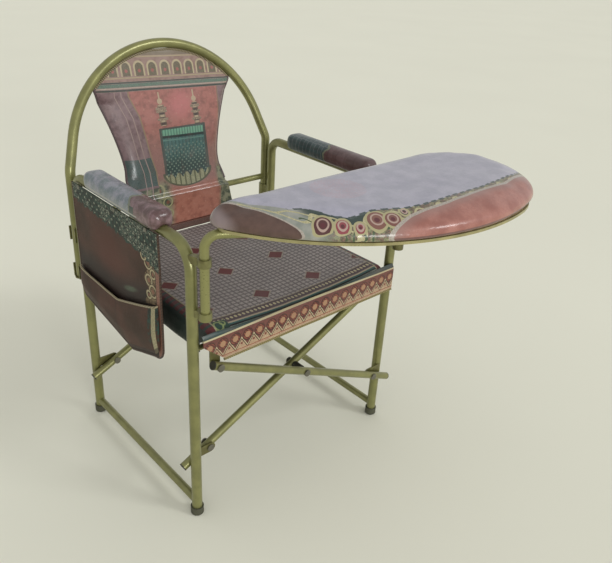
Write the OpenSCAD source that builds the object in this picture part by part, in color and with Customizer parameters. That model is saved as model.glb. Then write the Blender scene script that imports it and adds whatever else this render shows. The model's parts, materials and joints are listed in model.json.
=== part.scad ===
// Folding prayer chair: two bent tube side frames joined by front and rear scissor bars,
// a sling seat on two rising rails, a lift-off arched back and a padded table that swings aside.
// The chair faces -Y. Sizes are in millimetres and angles in degrees.

/* [Side frames] */
// Distance between the left and the right leg axes
leg_span = 494; // [440:1:560]
// Distance between the front and the rear leg axes
leg_depth = 400; // [360:1:460]
// Height of the arm tube's axis
arm_z = 570; // [540:1:620]
// Outer diameter of the leg and arm tubes
tube_d = 20; // [18:0.5:22]
// Wall of every steel tube
tube_wall = 1.2; // [1:0.1:2]
// Bend radius where the front leg turns into the arm
front_bend = 45; // [35:1:55]
// Bend radius where the rear leg turns into the arm
rear_bend = 30; // [25:1:45]
// Height of the bottom rail's axis
bottom_rail_z = 30; // [28:1:60]
// Outer diameter of the bottom rails and scissor bars
bar_d = 16; // [14:0.5:17]
// Height of a foot cap
foot_h = 18; // [14:1:20]
// Wall of a foot cap
foot_wall = 2.6; // [2:0.1:3]
// Rubber under the end of a leg
foot_floor = 5; // [4:0.5:8]

/* [Scissor and seat] */
// Distance of the scissor pivots from the leg axes
pivot_inset = 38; // [36:1:44]
// Height of the lower pivots
pivot_low_z = 137; // [120:1:150]
// Height of the upper pivots
pivot_high_z = 339; // [325:1:345]
// Length of bar beyond a lower pivot
low_overhang = 60; // [30:1:66]
// Length of bar beyond an upper pivot
high_overhang = 11; // [10:0.5:12]
// Diameter of the pivot bolts
bolt_d = 8; // [6:0.5:8]
// Thickness of a bolt's head and of a nut
head_t = 2.4; // [2:0.1:2.5]
// Thickness of the pivot lugs, rail ears and saddles
plate_t = 3; // [2.5:0.1:3]
// Height of the seat rails' axes
rail_z = 388; // [384:1:396]
// Outer diameter of the seat rails
rail_d = 20; // [18:0.5:20]
// Thickness of the padded seat sling
seat_t = 11; // [9:0.5:13]
// How far the seat sags between its rails
seat_sag = 9; // [4:1:14]
// Height of the lower edge of the front apron
apron_z = 347; // [345:1:360]
// Thickness of the apron
apron_t = 4; // [3:0.5:5]
// Diameter of the apron's piping
piping_d = 5; // [4:0.5:6]

/* [Back] */
// Height where the back hoop leans back and inward
hoop_bend_z = 573; // [560:1:590]
// Lean of the arch behind the upright legs
hoop_lean = 15; // [10:1:18]
// Inward lean of the arch's straight ends
arch_in = 18; // [14:1:20]
// Length of the arch's straight ends
arch_straight = 66; // [50:1:75]
// Height of the lower end of the hoop's legs
hoop_foot_z = 344; // [340:1:350]
// Gap between a rear leg and the hoop's leg behind it
hoop_gap = 5; // [5:0.5:7]
// Height of the cross bar's axis
cross_z = 474; // [472:1:490]
// Diameter of the cross bar
cross_d = 14; // [12:0.5:16]
// Height of a back socket
socket_h = 30; // [20:1:30]
// Height of the upper sockets' lower edge
socket_high_z = 425; // [410:1:430]
// Wall of the sockets and post brackets
socket_wall = 3; // [2.5:0.1:3]
// Thickness of the back sling
sling_t = 5; // [4:0.5:6]
// Half width of the back sling at its waist
sling_waist_w = 116; // [90:1:125]
// Height of the back sling's waist
sling_waist_z = 545; // [520:1:570]
// Half width of the back sling where it leaves the arch
sling_high_w = 160; // [140:1:165]
// Half width of the sling's skirt at its lower edge
skirt_low_w = 149; // [120:1:160]
// Height of the skirt's lower edge
skirt_low_z = 402; // [400:1:410]
// Thickness of the skirt
skirt_t = 3; // [2:0.5:4]
// Height where the back sling leaves the arch
sling_side_z = 706; // [690:1:712]
// Diameter of the back sling's bound edge
binding_d = 7; // [6:0.5:9]

/* [Table] */
// Height of the table board's underside
table_z = 607; // [605:1:625]
// Thickness of the table board
board_t = 6; // [5:1:12]
// Height of the table pad at its rim
pad_t = 31; // [15:1:34]
// Extra height of the table pad at its middle
pad_crown = 10; // [2:1:12]
// Radius of the board's end beside the post
tip_r = 28; // [26:1:34]
// Distance of that end's centre to the right of the post
tip_out = 47; // [44:1:54]
// Distance of that end's centre in front of the post
tip_front = 23; // [22:1:30]
// Radius of the board's wide end
end_r = 131; // [129:1:134]
// Distance of the wide end's centre to the right of the post
end_out = 463; // [458:1:475]
// Distance of the wide end's centre in front of the post
end_front = 119; // [115:1:122]
// Radius of the board's long front curve
front_r = 430; // [420:1:520]
// How much further the pad reaches beside the post
pad_tip_over = 16; // [10:1:18]
// How much further the pad reaches at the wide end
pad_end_over = 22; // [10:1:24]
// Width of the gold trim round the board
trim_w = 4; // [3:0.5:5]
// Diameter of the table post and of the prop
post_d = 16; // [14:0.5:16]
// Distance of the posts inboard of the leg axes
post_in = 9; // [7:1:10]
// Distance of the posts in front of the leg axes
post_front = 26; // [25:1:30]
// Height of the posts' lower ends
post_low_z = 450; // [445:1:470]
// Bend radius at the top of the table post
post_bend = 25; // [22:1:30]
// Turn of the table's support tube away from the chair
support_turn = 30; // [29:1:36]
// Length of the table's support tube from the post
support_len = 420; // [380:1:440]

/* [Arm pads and bag] */
// Width of an arm pad
arm_pad_w = 48; // [40:1:49]
// Height of an arm pad's rim above the arm tube
arm_pad_t = 22; // [15:1:25]
// Extra height of an arm pad at its middle
arm_pad_crown = 6; // [2:1:8]
// Front end of the arm pads, from the chair's middle
arm_pad_front = 130; // [110:1:140]
// Rear end of the arm pads, from the chair's middle
arm_pad_rear = 132; // [120:1:155]
// Thickness of the side bag's back panel
bag_t = 3; // [2:0.5:4]
// Height of the bag's lower edge
bag_low_z = 300; // [290:1:320]
// Front edge of the bag, from the chair's middle
bag_front = 128; // [110:1:140]
// Rear edge of the bag, from the chair's middle
bag_rear = 184; // [150:1:188]
// Height of the pocket's mouth
pocket_z = 392; // [370:1:430]
// How much higher the pocket's mouth is at its front
pocket_rise = 40; // [0:1:60]
// Depth of the pocket
pocket_depth = 14; // [10:1:20]
// Thickness of the pocket's cloth
pocket_wall = 2; // [1.5:0.5:3]

/* [Hidden] */
$fn = 48;

// Clearances: touching cloth and steel, running pivots, and tubes that slide past each other
seat_gap = 0.3;
run_gap = 0.1;
slide_gap = 0.3;
bar_gap = 1;

// Side frames
tube_r = tube_d / 2;
bar_r = bar_d / 2;
half_span = leg_span / 2;
front_y = -leg_depth / 2;
rear_y = leg_depth / 2;

// Planes of the scissor bars along Y: bar B passes in front of the front legs, bar A behind them
plane_a = front_y + tube_r + bar_gap + bar_r;
plane_b = front_y - tube_r - bar_gap - bar_r;
rear_plane_a = rear_y - tube_r - bar_gap - bar_r;
rear_plane_b = rear_plane_a - bar_d - plate_t;
pivot_x = half_span - pivot_inset;
pivot_mid_z = (pivot_low_z + pivot_high_z) / 2;
bar_angle = atan2(pivot_high_z - pivot_low_z, 2 * pivot_x);
bar_half = norm([pivot_x, (pivot_high_z - pivot_low_z) / 2]);
bolt_r = bolt_d / 2;
head_r = bolt_d * 0.9;
plug_t = 2;
plug_in = 12;
lug_r = bolt_d * 1.3;
leg_lug_y = tube_r + bar_gap / 2 - plate_t / 2;

// Seat
rail_r = rail_d / 2;
saddle_w = 12;
rail_front_y = front_y - leg_lug_y + plate_t / 2;
rail_end_y = -rail_front_y;
seat_z = rail_z + rail_r + seat_gap;
seat_half = pivot_x + rail_r + 8;
apron_y = front_y - tube_r - 3;
apron_left = half_span - tube_r - 1;
apron_right = half_span - 1;
apron_cut_in = 16;
apron_cut = pivot_x - apron_cut_in;
seat_columns = 16;
seat_rows = 10;

// Back
hoop_y = rear_y + 2 * tube_r + hoop_gap;
arch_r = (half_span - arch_straight * sin(arch_in)) / cos(arch_in);
arch_centre = arch_straight * cos(arch_in) - arch_r * sin(arch_in);
arch_top = arch_centre + arch_r;
kink_r = 40;
kink = acos(cos(arch_in) * cos(hoop_lean));
kink_t = kink_r * tan(kink / 2);
ball_over = 0.04;
arch_top_y = hoop_y + arch_top * sin(hoop_lean);
arch_top_z = hoop_bend_z + arch_top * cos(hoop_lean);
socket_r = tube_r + slide_gap;
sling_in = tube_r + binding_d + 2 * seat_gap;
sling_rows = 14;
sling_columns = 8;
sling_low_z = cross_z;
sleeve_r = cross_d / 2 + 2;
sleeve_half = sling_half(cross_z);
skirt_y = hoop_y - sleeve_r;
skirt_top_z = cross_z - sqrt(pow(sleeve_r + seat_gap, 2) - pow(sleeve_r - skirt_t, 2));
skirt_rows = 5;

// Table
post_r = post_d / 2;
post_x = half_span - post_in;
post_y = front_y - post_front;
support_z = table_z - post_r - 1;
bracket_h = 14;
bracket_rise = 18;
bracket_high_z = arm_z - front_bend + bracket_rise;
board_tip = [-post_x + tip_out, post_y - tip_front, tip_r];
board_end = [-post_x + end_out, post_y - end_front, end_r];
pad_tip = board_tip + [-pad_tip_over, 4, 2];
pad_end = board_end + [pad_end_over, 0, 0];
cradle_at = [110, 330];
cradle_l = 40;
cradle_w = 26;
screw_r = 2;
screw_head_r = 4;
screw_in = 4;

// Bag
bag_x = half_span + tube_r + 1.5;
bag_top_z = arm_z - 2;
rivet_z = arm_z - 7;
arm_pad_low_z = arm_z - 1.5;
rivet_at = [-0.7, 0.1, 0.85];
pocket_in = 6;
bag_front_r = 26;
bag_rear_r = 18;
bag_drop = 12;
bag_drop_y = -15;
bag_fold_y = 15;
bag_corner_rise = 18;
bag_rear_rise = 22;

// The origin is the middle of the chair's own box on the floor
box_left = -(bag_x + bag_t + pocket_depth);
box_right = pad_end[0] + pad_end[2];
box_front = bow_middle(pad_tip, pad_end)[1] - front_r;
box_rear = arch_top_y + tube_r;
home = [-(box_left + box_right) / 2, -(box_front + box_rear) / 2, 0];

// Points of an arc of radius r about c, from angle a to angle b
function arc(c, r, a, b, n) =
    [for (i = [0 : n]) let (t = a + (b - a) * i / n) [c[0] + r * cos(t), c[1] + r * sin(t)]];

// Angle of the outer tangent's normal between circles p and q, given as [x, y, radius]
function tangent(p, q) = let (d = [q[0] - p[0], q[1] - p[1]]) atan2(d[1], d[0]) - acos((p[2] - q[2]) / norm(d));

// Centre of the front curve that touches circles p and q from outside, on their left
function bow_middle(p, q) =
    let (d = [q[0] - p[0], q[1] - p[1]], l = norm(d), a = front_r - p[2], b = front_r - q[2],
        along = (a * a - b * b + l * l) / (2 * l))
    [p[0], p[1]] + along * d / l + sqrt(a * a - along * along) * [-d[1], d[0]] / l;

// Circles p and q joined by that front curve and by a straight rear edge, drawn in by inset
function bow(p, q, inset, n) =
    let (
        c = bow_middle(p, q),
        rear = tangent(q, p),
        a = atan2(p[1] - c[1], p[0] - c[0]),
        b = atan2(q[1] - c[1], q[0] - c[0])
    )
    concat(
        arc(p, p[2] - inset, rear, a + 360, n),
        arc(c, front_r - inset, a + 360, b + 360, 2 * n),
        arc(q, q[2] - inset, b + 360, rear + 360, n)
    );

// A belt stretched round circles listed anticlockwise, drawn in by inset
function belt(c, inset, n) = [
    for (i = [0 : len(c) - 1])
        let (
            before = tangent(c[(i + len(c) - 1) % len(c)], c[i]),
            after = tangent(c[i], c[(i + 1) % len(c)]),
            sweep = (after - before + 720) % 360
        )
        each arc(c[i], c[i][2] - inset, before, before + sweep, n)
];

function middle(points) = [for (k = [0, 1]) [for (p = points) p[k]] * [for (p = points) 1] / len(points)];

// Half width of the back sling at height z: waisted sides, then the inside of the arch. It is drawn
// straight from the cross bar to the arch's corners.
function arch_half(z) = let (up = (z - hoop_bend_z) / cos(hoop_lean) - arch_centre)
    sqrt(max(0, pow(arch_r - sling_in, 2) - up * up));
function sling_half(z) = z < sling_waist_z
    ? sling_waist_w + (skirt_low_w - sling_waist_w) * pow((sling_waist_z - z) / (sling_waist_z - skirt_low_z), 1.4)
    : z < sling_side_z
        ? sling_waist_w
            + (sling_high_w - sling_waist_w) * pow((z - sling_waist_z) / (sling_side_z - sling_waist_z), 1.5)
        : min(sling_high_w, arch_half(z));
sling_top_z = hoop_bend_z + (arch_centre + arch_r - sling_in) * cos(hoop_lean) - 2;
function sling_y(z) = hoop_y + tan(hoop_lean) * (z < sling_side_z
    ? (sling_side_z - hoop_bend_z) * (z - cross_z) / (sling_side_z - cross_z)
    : z - hoop_bend_z);
function sling_z(i) = i <= sling_rows - 5
    ? sling_low_z + (sling_side_z - sling_low_z) * i / (sling_rows - 5)
    : sling_side_z + (sling_top_z - sling_side_z) * sin(90 * (i - sling_rows + 5) / 5);

// A round rod from p to q
module rod(p, q, r) {
    d = q - p;
    translate(p) rotate([0, acos(d[2] / norm(d)), atan2(d[1], d[0])]) cylinder(h = norm(d), r = r);
}

// A tube of outer radius r along the same line
module pipe(p, q, r) {
    u = (q - p) / norm(q - p);
    difference() {
        rod(p, q, r);
        rod(p - u, q + u, r - tube_wall);
    }
}

// A hollow bend of outer radius r, turning from the X axis towards the Y axis
module pipe_bend(radius, r, angle) {
    rotate_extrude(angle = angle) translate([radius, 0]) difference() {
        circle(r);
        circle(r - tube_wall);
    }
}

// A round head or washer along Y
module disc_y(x, y, z, r, t) {
    translate([x, y, z]) rotate([-90, 0, 0]) cylinder(h = t, r = r);
}

// Closed skin over two grids of points, front and back, of the same size
module sheet_solid(front, back) {
    rows = len(front);
    cols = len(front[0]);
    points = concat([for (r = front) each r], [for (r = back) each r]);
    b = rows * cols;
    function at(i, j) = i * cols + j;
    polyhedron(points, concat(
        [for (i = [0 : rows - 2], j = [0 : cols - 2]) each
            [[at(i, j), at(i + 1, j), at(i + 1, j + 1)], [at(i, j), at(i + 1, j + 1), at(i, j + 1)]]],
        [for (i = [0 : rows - 2], j = [0 : cols - 2]) each
            [[b + at(i, j), b + at(i + 1, j + 1), b + at(i + 1, j)],
            [b + at(i, j), b + at(i, j + 1), b + at(i + 1, j + 1)]]],
        [for (i = [0 : rows - 2]) each
            [[at(i, 0), b + at(i, 0), b + at(i + 1, 0)], [at(i, 0), b + at(i + 1, 0), at(i + 1, 0)]]],
        [for (i = [0 : rows - 2]) each
            [[at(i, cols - 1), b + at(i + 1, cols - 1), b + at(i, cols - 1)],
            [at(i, cols - 1), at(i + 1, cols - 1), b + at(i + 1, cols - 1)]]],
        [for (j = [0 : cols - 2]) each
            [[at(0, j), b + at(0, j + 1), b + at(0, j)], [at(0, j), at(0, j + 1), b + at(0, j + 1)]]],
        [for (j = [0 : cols - 2]) each
            [[at(rows - 1, j), b + at(rows - 1, j), b + at(rows - 1, j + 1)],
            [at(rows - 1, j), b + at(rows - 1, j + 1), at(rows - 1, j + 1)]]]
    ));
}

// A crowned cushion on a flat base. Each ring is the distance drawn in and the share of the rim's height,
// and each crown ring is the share of the way to the middle and the share of the crown's height.
module cushion(outline, z, rim, crown, full) {
    n = len(outline);
    c = middle(outline);
    rings = [[4, 0], [full * 0.3, 0.12], [0, 0.45], [full * 0.35, 0.8], [full, 1]];
    crowns = [[0.25, 0.5], [0.55, 0.85], [0.8, 0.97]];
    function toward(p, d) = p + (c - p) * d / norm(c - p);
    function share(p, s) = let (q = toward(p, full)) q + (c - q) * s;
    points = concat(
        [[c[0], c[1], z]],
        [for (r = rings) for (p = outline) let (q = toward(p, r[0])) [q[0], q[1], z + rim * r[1]]],
        [for (k = crowns) for (p = outline) let (q = share(p, k[0])) [q[0], q[1], z + rim + crown * k[1]]],
        [[c[0], c[1], z + rim + crown]]
    );
    count = len(rings) + len(crowns);
    function at(k, i) = 1 + k * n + i % n;
    polyhedron(points, concat(
        [for (i = [0 : n - 1]) [0, at(0, i), at(0, i + 1)]],
        [for (k = [0 : count - 2], i = [0 : n - 1]) each
            [[at(k, i), at(k + 1, i), at(k + 1, i + 1)], [at(k, i), at(k + 1, i + 1), at(k, i + 1)]]],
        [for (i = [0 : n - 1]) [at(count - 1, i), len(points) - 1, at(count - 1, i + 1)]]
    ));
}

// The bent side tube as a solid of radius r, in the plane of its own legs
module side_solid(r, open) {
    translate([0, front_y, foot_floor - open]) cylinder(h = arm_z - front_bend - foot_floor + open, r = r);
    translate([0, rear_y, foot_floor - open]) cylinder(h = arm_z - rear_bend - foot_floor + open, r = r);
    rod([0, front_y + front_bend, arm_z], [0, rear_y - rear_bend, arm_z], r);
    translate([0, front_y + front_bend, arm_z - front_bend]) rotate([90, 0, -90])
        rotate_extrude(angle = 90) translate([front_bend, 0]) circle(r);
    translate([0, rear_y - rear_bend, arm_z - rear_bend]) rotate([90, 0, 90])
        rotate_extrude(angle = 90) translate([rear_bend, 0]) circle(r);
}

module side_tube() {
    color("#8a8440") difference() {
        side_solid(tube_r, 0);
        side_solid(tube_r - tube_wall, 1);
    }
}

module bottom_rail() {
    color("#8a8440") difference() {
        pipe([0, front_y, bottom_rail_z], [0, rear_y, bottom_rail_z], bar_r);
        for (y = [front_y, rear_y]) translate([0, y, 0]) cylinder(h = 2 * bottom_rail_z, r = tube_r);
    }
}

module feet() {
    color("#2c2b26") for (y = [front_y, rear_y]) translate([0, y, 0]) difference() {
        union() {
            cylinder(h = 2, r1 = tube_r + foot_wall - 2, r2 = tube_r + foot_wall);
            translate([0, 0, 2]) cylinder(h = foot_h - 2, r = tube_r + foot_wall);
        }
        translate([0, 0, foot_floor]) cylinder(h = foot_h, r = tube_r);
    }
}

module arm_pad() {
    r = arm_pad_w / 2;
    top = arm_z + tube_r + seat_gap + arm_pad_t;
    color("#5a2f33") difference() {
        cushion(
            belt([[0, -arm_pad_front + r, r], [0, arm_pad_rear - r, r]], 0, 10),
            arm_pad_low_z, top - arm_pad_low_z, arm_pad_crown, 8
        );
        rod([0, -arm_pad_front - 1, arm_z], [0, arm_pad_rear + 1, arm_z], tube_r + seat_gap);
    }
}

// Shelves on the legs' inner sides that carry the seat rail, drawn for the left side
module saddles() {
    z = rail_z - rail_r - seat_gap - plate_t;
    color("#77723a") for (y = [front_y, rear_y]) difference() {
        translate([0, y - 5, z]) cube([pivot_inset + rail_r + 3, saddle_w, plate_t]);
        translate([0, y, z - 1]) cylinder(h = plate_t + 2, r = tube_r);
    }
}

// A flat lug along Y from the leg at y_leg to the pivot, drawn for the left side
module lug(y, y_leg) {
    color("#77723a") difference() {
        union() {
            translate([0, y - plate_t / 2, pivot_low_z - lug_r]) cube([pivot_inset, plate_t, 2 * lug_r]);
            disc_y(pivot_inset, y - plate_t / 2, pivot_low_z, lug_r, plate_t);
        }
        translate([0, y_leg, pivot_low_z - lug_r - 1]) cylinder(h = 2 * lug_r + 2, r = tube_r);
        disc_y(pivot_inset, y - plate_t, pivot_low_z, bolt_r, 2 * plate_t);
    }
}

// A bolt along Y between two faces, with its head at y0 and its nut at y1
module bolt(x, y0, y1, z) {
    color("#b9b9b4") {
        disc_y(x, y0 - head_t, z, head_r, head_t);
        disc_y(x, y0, z, bolt_r, y1 - y0);
        disc_y(x, y1, z, head_r, head_t);
    }
}

// C-shaped socket that the back hoop's leg stands in, open on the outboard side, drawn for the right side
module back_socket(z, floor_t) {
    difference() {
        union() {
            translate([0, hoop_y, z]) cylinder(h = socket_h, r = socket_r + socket_wall);
            translate([0, hoop_y - socket_r - socket_wall, z])
                cube([socket_r, 2 * (socket_r + socket_wall), socket_h]);
            translate([-tube_r * 0.7, rear_y, z]) cube([tube_r * 1.4, hoop_y - rear_y, socket_h]);
        }
        translate([0, rear_y, z - 1]) cylinder(h = socket_h + 2, r = tube_r);
        translate([0, hoop_y, z + floor_t]) cylinder(h = 2 * socket_h, r = socket_r);
        translate([0, hoop_y - socket_r, z + floor_t]) cube([2 * socket_r, 2 * socket_r, 2 * socket_h]);
    }
}

module back_sockets() {
    color("#77723a") {
        back_socket(hoop_foot_z - seat_gap - plate_t, plate_t);
        back_socket(socket_high_z, -2);
    }
}

// A bracket that holds a table post beside the front leg, drawn for the left side
module post_bracket(z, bore_r, floor_t) {
    angle = atan2(-post_front, post_in);
    reach = norm([post_front, post_in]);
    difference() {
        union() {
            translate([post_in, post_y, z]) cylinder(h = bracket_h, r = post_r + slide_gap + socket_wall);
            translate([0, front_y, z]) rotate([0, 0, angle])
                translate([0, -post_r * 0.7, 0]) cube([reach, post_r * 1.4, bracket_h]);
        }
        side_solid(tube_r, 0);
        translate([post_in, post_y, z + floor_t]) cylinder(h = 2 * bracket_h, r = bore_r);
    }
}

module brackets(bore_r) {
    color("#77723a") {
        post_bracket(post_low_z - seat_gap - plate_t, bore_r, plate_t);
        post_bracket(bracket_high_z, bore_r, -2);
    }
}

module left() { translate(home + [-half_span, 0, 0]) children(); }
module right() { translate(home + [half_span, 0, 0]) mirror([1, 0, 0]) children(); }
module middle_of_chair() { translate(home) children(); }

module left_side_tube() { left() side_tube(); }
module right_side_tube() { right() side_tube(); }
module left_bottom_rail() { left() bottom_rail(); }
module right_bottom_rail() { right() bottom_rail(); }
module left_feet() { left() feet(); }
module right_feet() { right() feet(); }
module left_arm_pad() { left() arm_pad(); }
module right_arm_pad() { right() arm_pad(); }
module left_saddles() { left() saddles(); }
module right_saddles() { right() saddles(); }
module left_back_sockets() { left() mirror([1, 0, 0]) back_sockets(); }
module right_back_sockets() { right() mirror([1, 0, 0]) back_sockets(); }
module post_brackets() { left() brackets(post_r + slide_gap / 2); }
module prop_brackets() { right() brackets(post_r); }

module left_lugs() {
    left() {
        lug(front_y + leg_lug_y, front_y);
        lug(rear_y - leg_lug_y, rear_y);
    }
}

module right_lugs() {
    right() {
        lug(front_y - leg_lug_y, front_y);
        lug(rear_y - leg_lug_y, rear_y);
    }
}

module left_pivot_bolts() {
    middle_of_chair() {
        bolt(-pivot_x, front_y + leg_lug_y - plate_t / 2, plane_a + bar_r + seat_gap, pivot_low_z);
        bolt(-pivot_x, rear_plane_a - bar_r - seat_gap, rear_y - leg_lug_y + plate_t / 2, pivot_low_z);
    }
}

module right_pivot_bolts() {
    middle_of_chair() {
        bolt(pivot_x, plane_b - bar_r - seat_gap, front_y - leg_lug_y + plate_t / 2, pivot_low_z);
        bolt(pivot_x, rear_plane_b - bar_r - seat_gap, rear_y - leg_lug_y + plate_t / 2, pivot_low_z);
        color("#b9b9b4") difference() {
            disc_y(pivot_x, rear_plane_b + bar_r + seat_gap, pivot_low_z, head_r,
                rear_y - leg_lug_y - plate_t / 2 - rear_plane_b - bar_r - seat_gap);
            disc_y(pivot_x, rear_plane_b, pivot_low_z, bolt_r, leg_depth);
        }
    }
}

// A scissor bar in the plane y, rising to the right, with its three pivot bores
module scissor_bar(y) {
    color("#8a8440") translate([0, y, pivot_mid_z]) rotate([0, -bar_angle, 0]) difference() {
        pipe([-bar_half - low_overhang, 0, 0], [bar_half + high_overhang, 0, 0], bar_r);
        for (x = [-bar_half, 0, bar_half]) disc_y(x, -bar_d, 0, bolt_r + run_gap, 2 * bar_d);
    }
}

// Plastic end plugs of one scissor bar
module bar_plugs(y) {
    color("#3d3c30") translate([0, y, pivot_mid_z]) rotate([0, -bar_angle, 0])
        for (x = [-bar_half - low_overhang - plug_t, bar_half + high_overhang])
            rod([x, 0, 0], [x + plug_t, 0, 0], bar_r);
}

module front_bar_a() { middle_of_chair() scissor_bar(plane_a); }
module rear_bar_a() { middle_of_chair() scissor_bar(rear_plane_a); }
module front_bar_b() { middle_of_chair() mirror([1, 0, 0]) scissor_bar(plane_b); }
module rear_bar_b() { middle_of_chair() mirror([1, 0, 0]) scissor_bar(rear_plane_b); }

module bar_a_plugs() {
    middle_of_chair() {
        bar_plugs(plane_a);
        bar_plugs(rear_plane_a);
    }
}

module bar_b_plugs() {
    middle_of_chair() mirror([1, 0, 0]) {
        bar_plugs(plane_b);
        bar_plugs(rear_plane_b);
    }
}

module centre_bolts() {
    middle_of_chair() {
        bolt(0, plane_b - bar_r - seat_gap, plane_a + bar_r + seat_gap, pivot_mid_z);
        bolt(0, rear_plane_b - bar_r - seat_gap, rear_plane_a + bar_r + seat_gap, pivot_mid_z);
    }
}

// Spacers that keep the crossing bars apart
module centre_spacers() {
    middle_of_chair() color("#3d3c30") for (y = [[plane_b, plane_a], [rear_plane_b, rear_plane_a]]) difference() {
        disc_y(0, y[0] + bar_r + seat_gap, pivot_mid_z, head_r, y[1] - y[0] - bar_d - 2 * seat_gap);
        disc_y(0, y[0], pivot_mid_z, bolt_r, y[1] - y[0]);
    }
}

module seat_rail(x) {
    middle_of_chair() color("#8a8440") pipe([x, rail_front_y, rail_z], [x, rail_end_y, rail_z], rail_r);
}

// An ear that hangs from the seat rail at y, reaches top and carries an upper pivot
module rail_ear(x, y, top) {
    color("#77723a") difference() {
        union() {
            translate([x - lug_r, y - plate_t / 2, pivot_high_z]) cube([2 * lug_r, plate_t, top - pivot_high_z]);
            disc_y(x, y - plate_t / 2, pivot_high_z, lug_r, plate_t);
        }
        rod([x, rail_front_y, rail_z], [x, rail_end_y, rail_z], rail_r);
        disc_y(x, y - plate_t, pivot_high_z, bolt_r, 2 * plate_t);
    }
}

front_ear_b = front_y - leg_lug_y;
rear_ear_b = rear_plane_b - bar_r - seat_gap - plate_t / 2;
front_ear_a = plane_a + bar_r + seat_gap + plate_t / 2;
rear_ear_a = rear_y - leg_lug_y;

module left_seat_rail() { seat_rail(-pivot_x); }
module right_seat_rail() { seat_rail(pivot_x); }

module left_rail_ears() {
    middle_of_chair() {
        rail_ear(-pivot_x, front_ear_b, rail_z + rail_r);
        rail_ear(-pivot_x, rear_ear_b, rail_z);
    }
}

module right_rail_ears() {
    middle_of_chair() {
        rail_ear(pivot_x, front_ear_a, rail_z);
        rail_ear(pivot_x, rear_ear_a, rail_z);
    }
}

module left_rail_bolts() {
    middle_of_chair() {
        bolt(-pivot_x, plane_b - bar_r - seat_gap, front_ear_b + plate_t / 2, pivot_high_z);
        bolt(-pivot_x, rear_ear_b - plate_t / 2, rear_plane_b + bar_r + seat_gap, pivot_high_z);
    }
}

module right_rail_bolts() {
    middle_of_chair() {
        bolt(pivot_x, plane_a - bar_r - seat_gap, front_ear_a + plate_t / 2, pivot_high_z);
        bolt(pivot_x, rear_plane_a - bar_r - seat_gap, rear_ear_a + plate_t / 2, pivot_high_z);
    }
}

// The left rail's front end is closed by its ear
module rail_plugs(x, ends) {
    middle_of_chair() color("#3d3c30") for (y = ends) disc_y(x, y, rail_z, rail_r, plug_t);
}

module left_rail_plugs() { rail_plugs(-pivot_x, [rail_end_y]); }
module right_rail_plugs() { rail_plugs(pivot_x, [rail_front_y - plug_t, rail_end_y]); }

// The padded sling over the two rails, sagging between them and rolled down at its front
module seat_sling() {
    inner = pivot_x - rail_r - 4;
    function sag(x) = abs(x) < inner ? -seat_sag * (1 - pow(x / inner, 2)) : 0;
    function x_at(j) = -seat_half + 2 * seat_half * j / seat_columns;
    function y_at(i) = apron_y + (rail_end_y - apron_y) * i / seat_rows;
    function face(z, roll) = [for (i = [0 : seat_rows]) [for (j = [0 : seat_columns])
        [x_at(j), y_at(i), z + sag(x_at(j)) - (i == 0 ? roll : 0)]]];
    middle_of_chair() color("#6d6a70") sheet_solid(face(seat_z, 0), face(seat_z + seat_t, seat_t / 3));
}

// The apron that hangs in front of the seat, cut back on the left to clear the scissor bar
module seat_apron() {
    middle_of_chair() color("#9b5a45") translate([0, apron_y, 0]) rotate([90, 0, 0]) linear_extrude(apron_t)
        polygon([[-apron_left, seat_z], [-apron_left, seat_z - 12], [-apron_cut, apron_z], [apron_right, apron_z],
            [apron_right, seat_z], [pivot_x, seat_z + 5], [0, seat_z - 2], [-pivot_x, seat_z + 5]]);
}

module seat_piping() {
    middle_of_chair() color("#7c7636") translate([0, apron_y - apron_t / 2, apron_z - piping_d / 2])
        rod([-apron_cut, 0, 0], [apron_right, 0, 0], piping_d / 2);
}

// Two upright legs, each bent into an arch that leans back and inward, as a solid of radius r.
// A ball a hair larger than the tube covers each joint of a bend and a straight piece.
module hoop_solid(r, open) {
    for (s = [-1, 1]) {
        corner = [s * half_span, hoop_y, hoop_bend_z];
        lean = [-s * sin(arch_in), cos(arch_in) * sin(hoop_lean), cos(arch_in) * cos(hoop_lean)];
        translate(corner - [0, 0, kink_t]) rotate([0, 0, atan2(lean[1], lean[0])]) {
            leg = hoop_bend_z - kink_t - hoop_foot_z + open;
            translate([0, 0, -leg]) cylinder(h = leg, r = r);
            sphere(r + ball_over);
            translate([kink_r, 0, 0]) rotate([90, 0, 0]) rotate([0, 0, 180 - kink])
                rotate_extrude(angle = kink) translate([kink_r, 0]) circle(r);
        }
        rod(corner + kink_t * lean, corner + arch_straight * lean, r);
        for (t = [kink_t, arch_straight]) translate(corner + t * lean) sphere(r + ball_over);
    }
    translate([0, hoop_y, hoop_bend_z]) rotate([90 - hoop_lean, 0, 0]) translate([0, arch_centre, 0])
        rotate([0, 0, arch_in]) rotate_extrude(angle = 180 - 2 * arch_in) translate([arch_r, 0]) circle(r);
}

module back_hoop() {
    middle_of_chair() color("#8a8440") difference() {
        hoop_solid(tube_r, 0);
        hoop_solid(tube_r - tube_wall, 1);
    }
}

module hoop_plugs() {
    middle_of_chair() color("#3d3c30") for (s = [-1, 1])
        translate([s * half_span, hoop_y, hoop_foot_z]) cylinder(h = plug_in, r = tube_r - tube_wall);
}

module back_crossbar() {
    middle_of_chair() color("#8a8440") difference() {
        pipe([-half_span, hoop_y, cross_z], [half_span, hoop_y, cross_z], cross_d / 2);
        for (s = [-1, 1])
            translate([s * half_span, hoop_y, cross_z - cross_d]) cylinder(h = 2 * cross_d, r = tube_r);
    }
}

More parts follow.
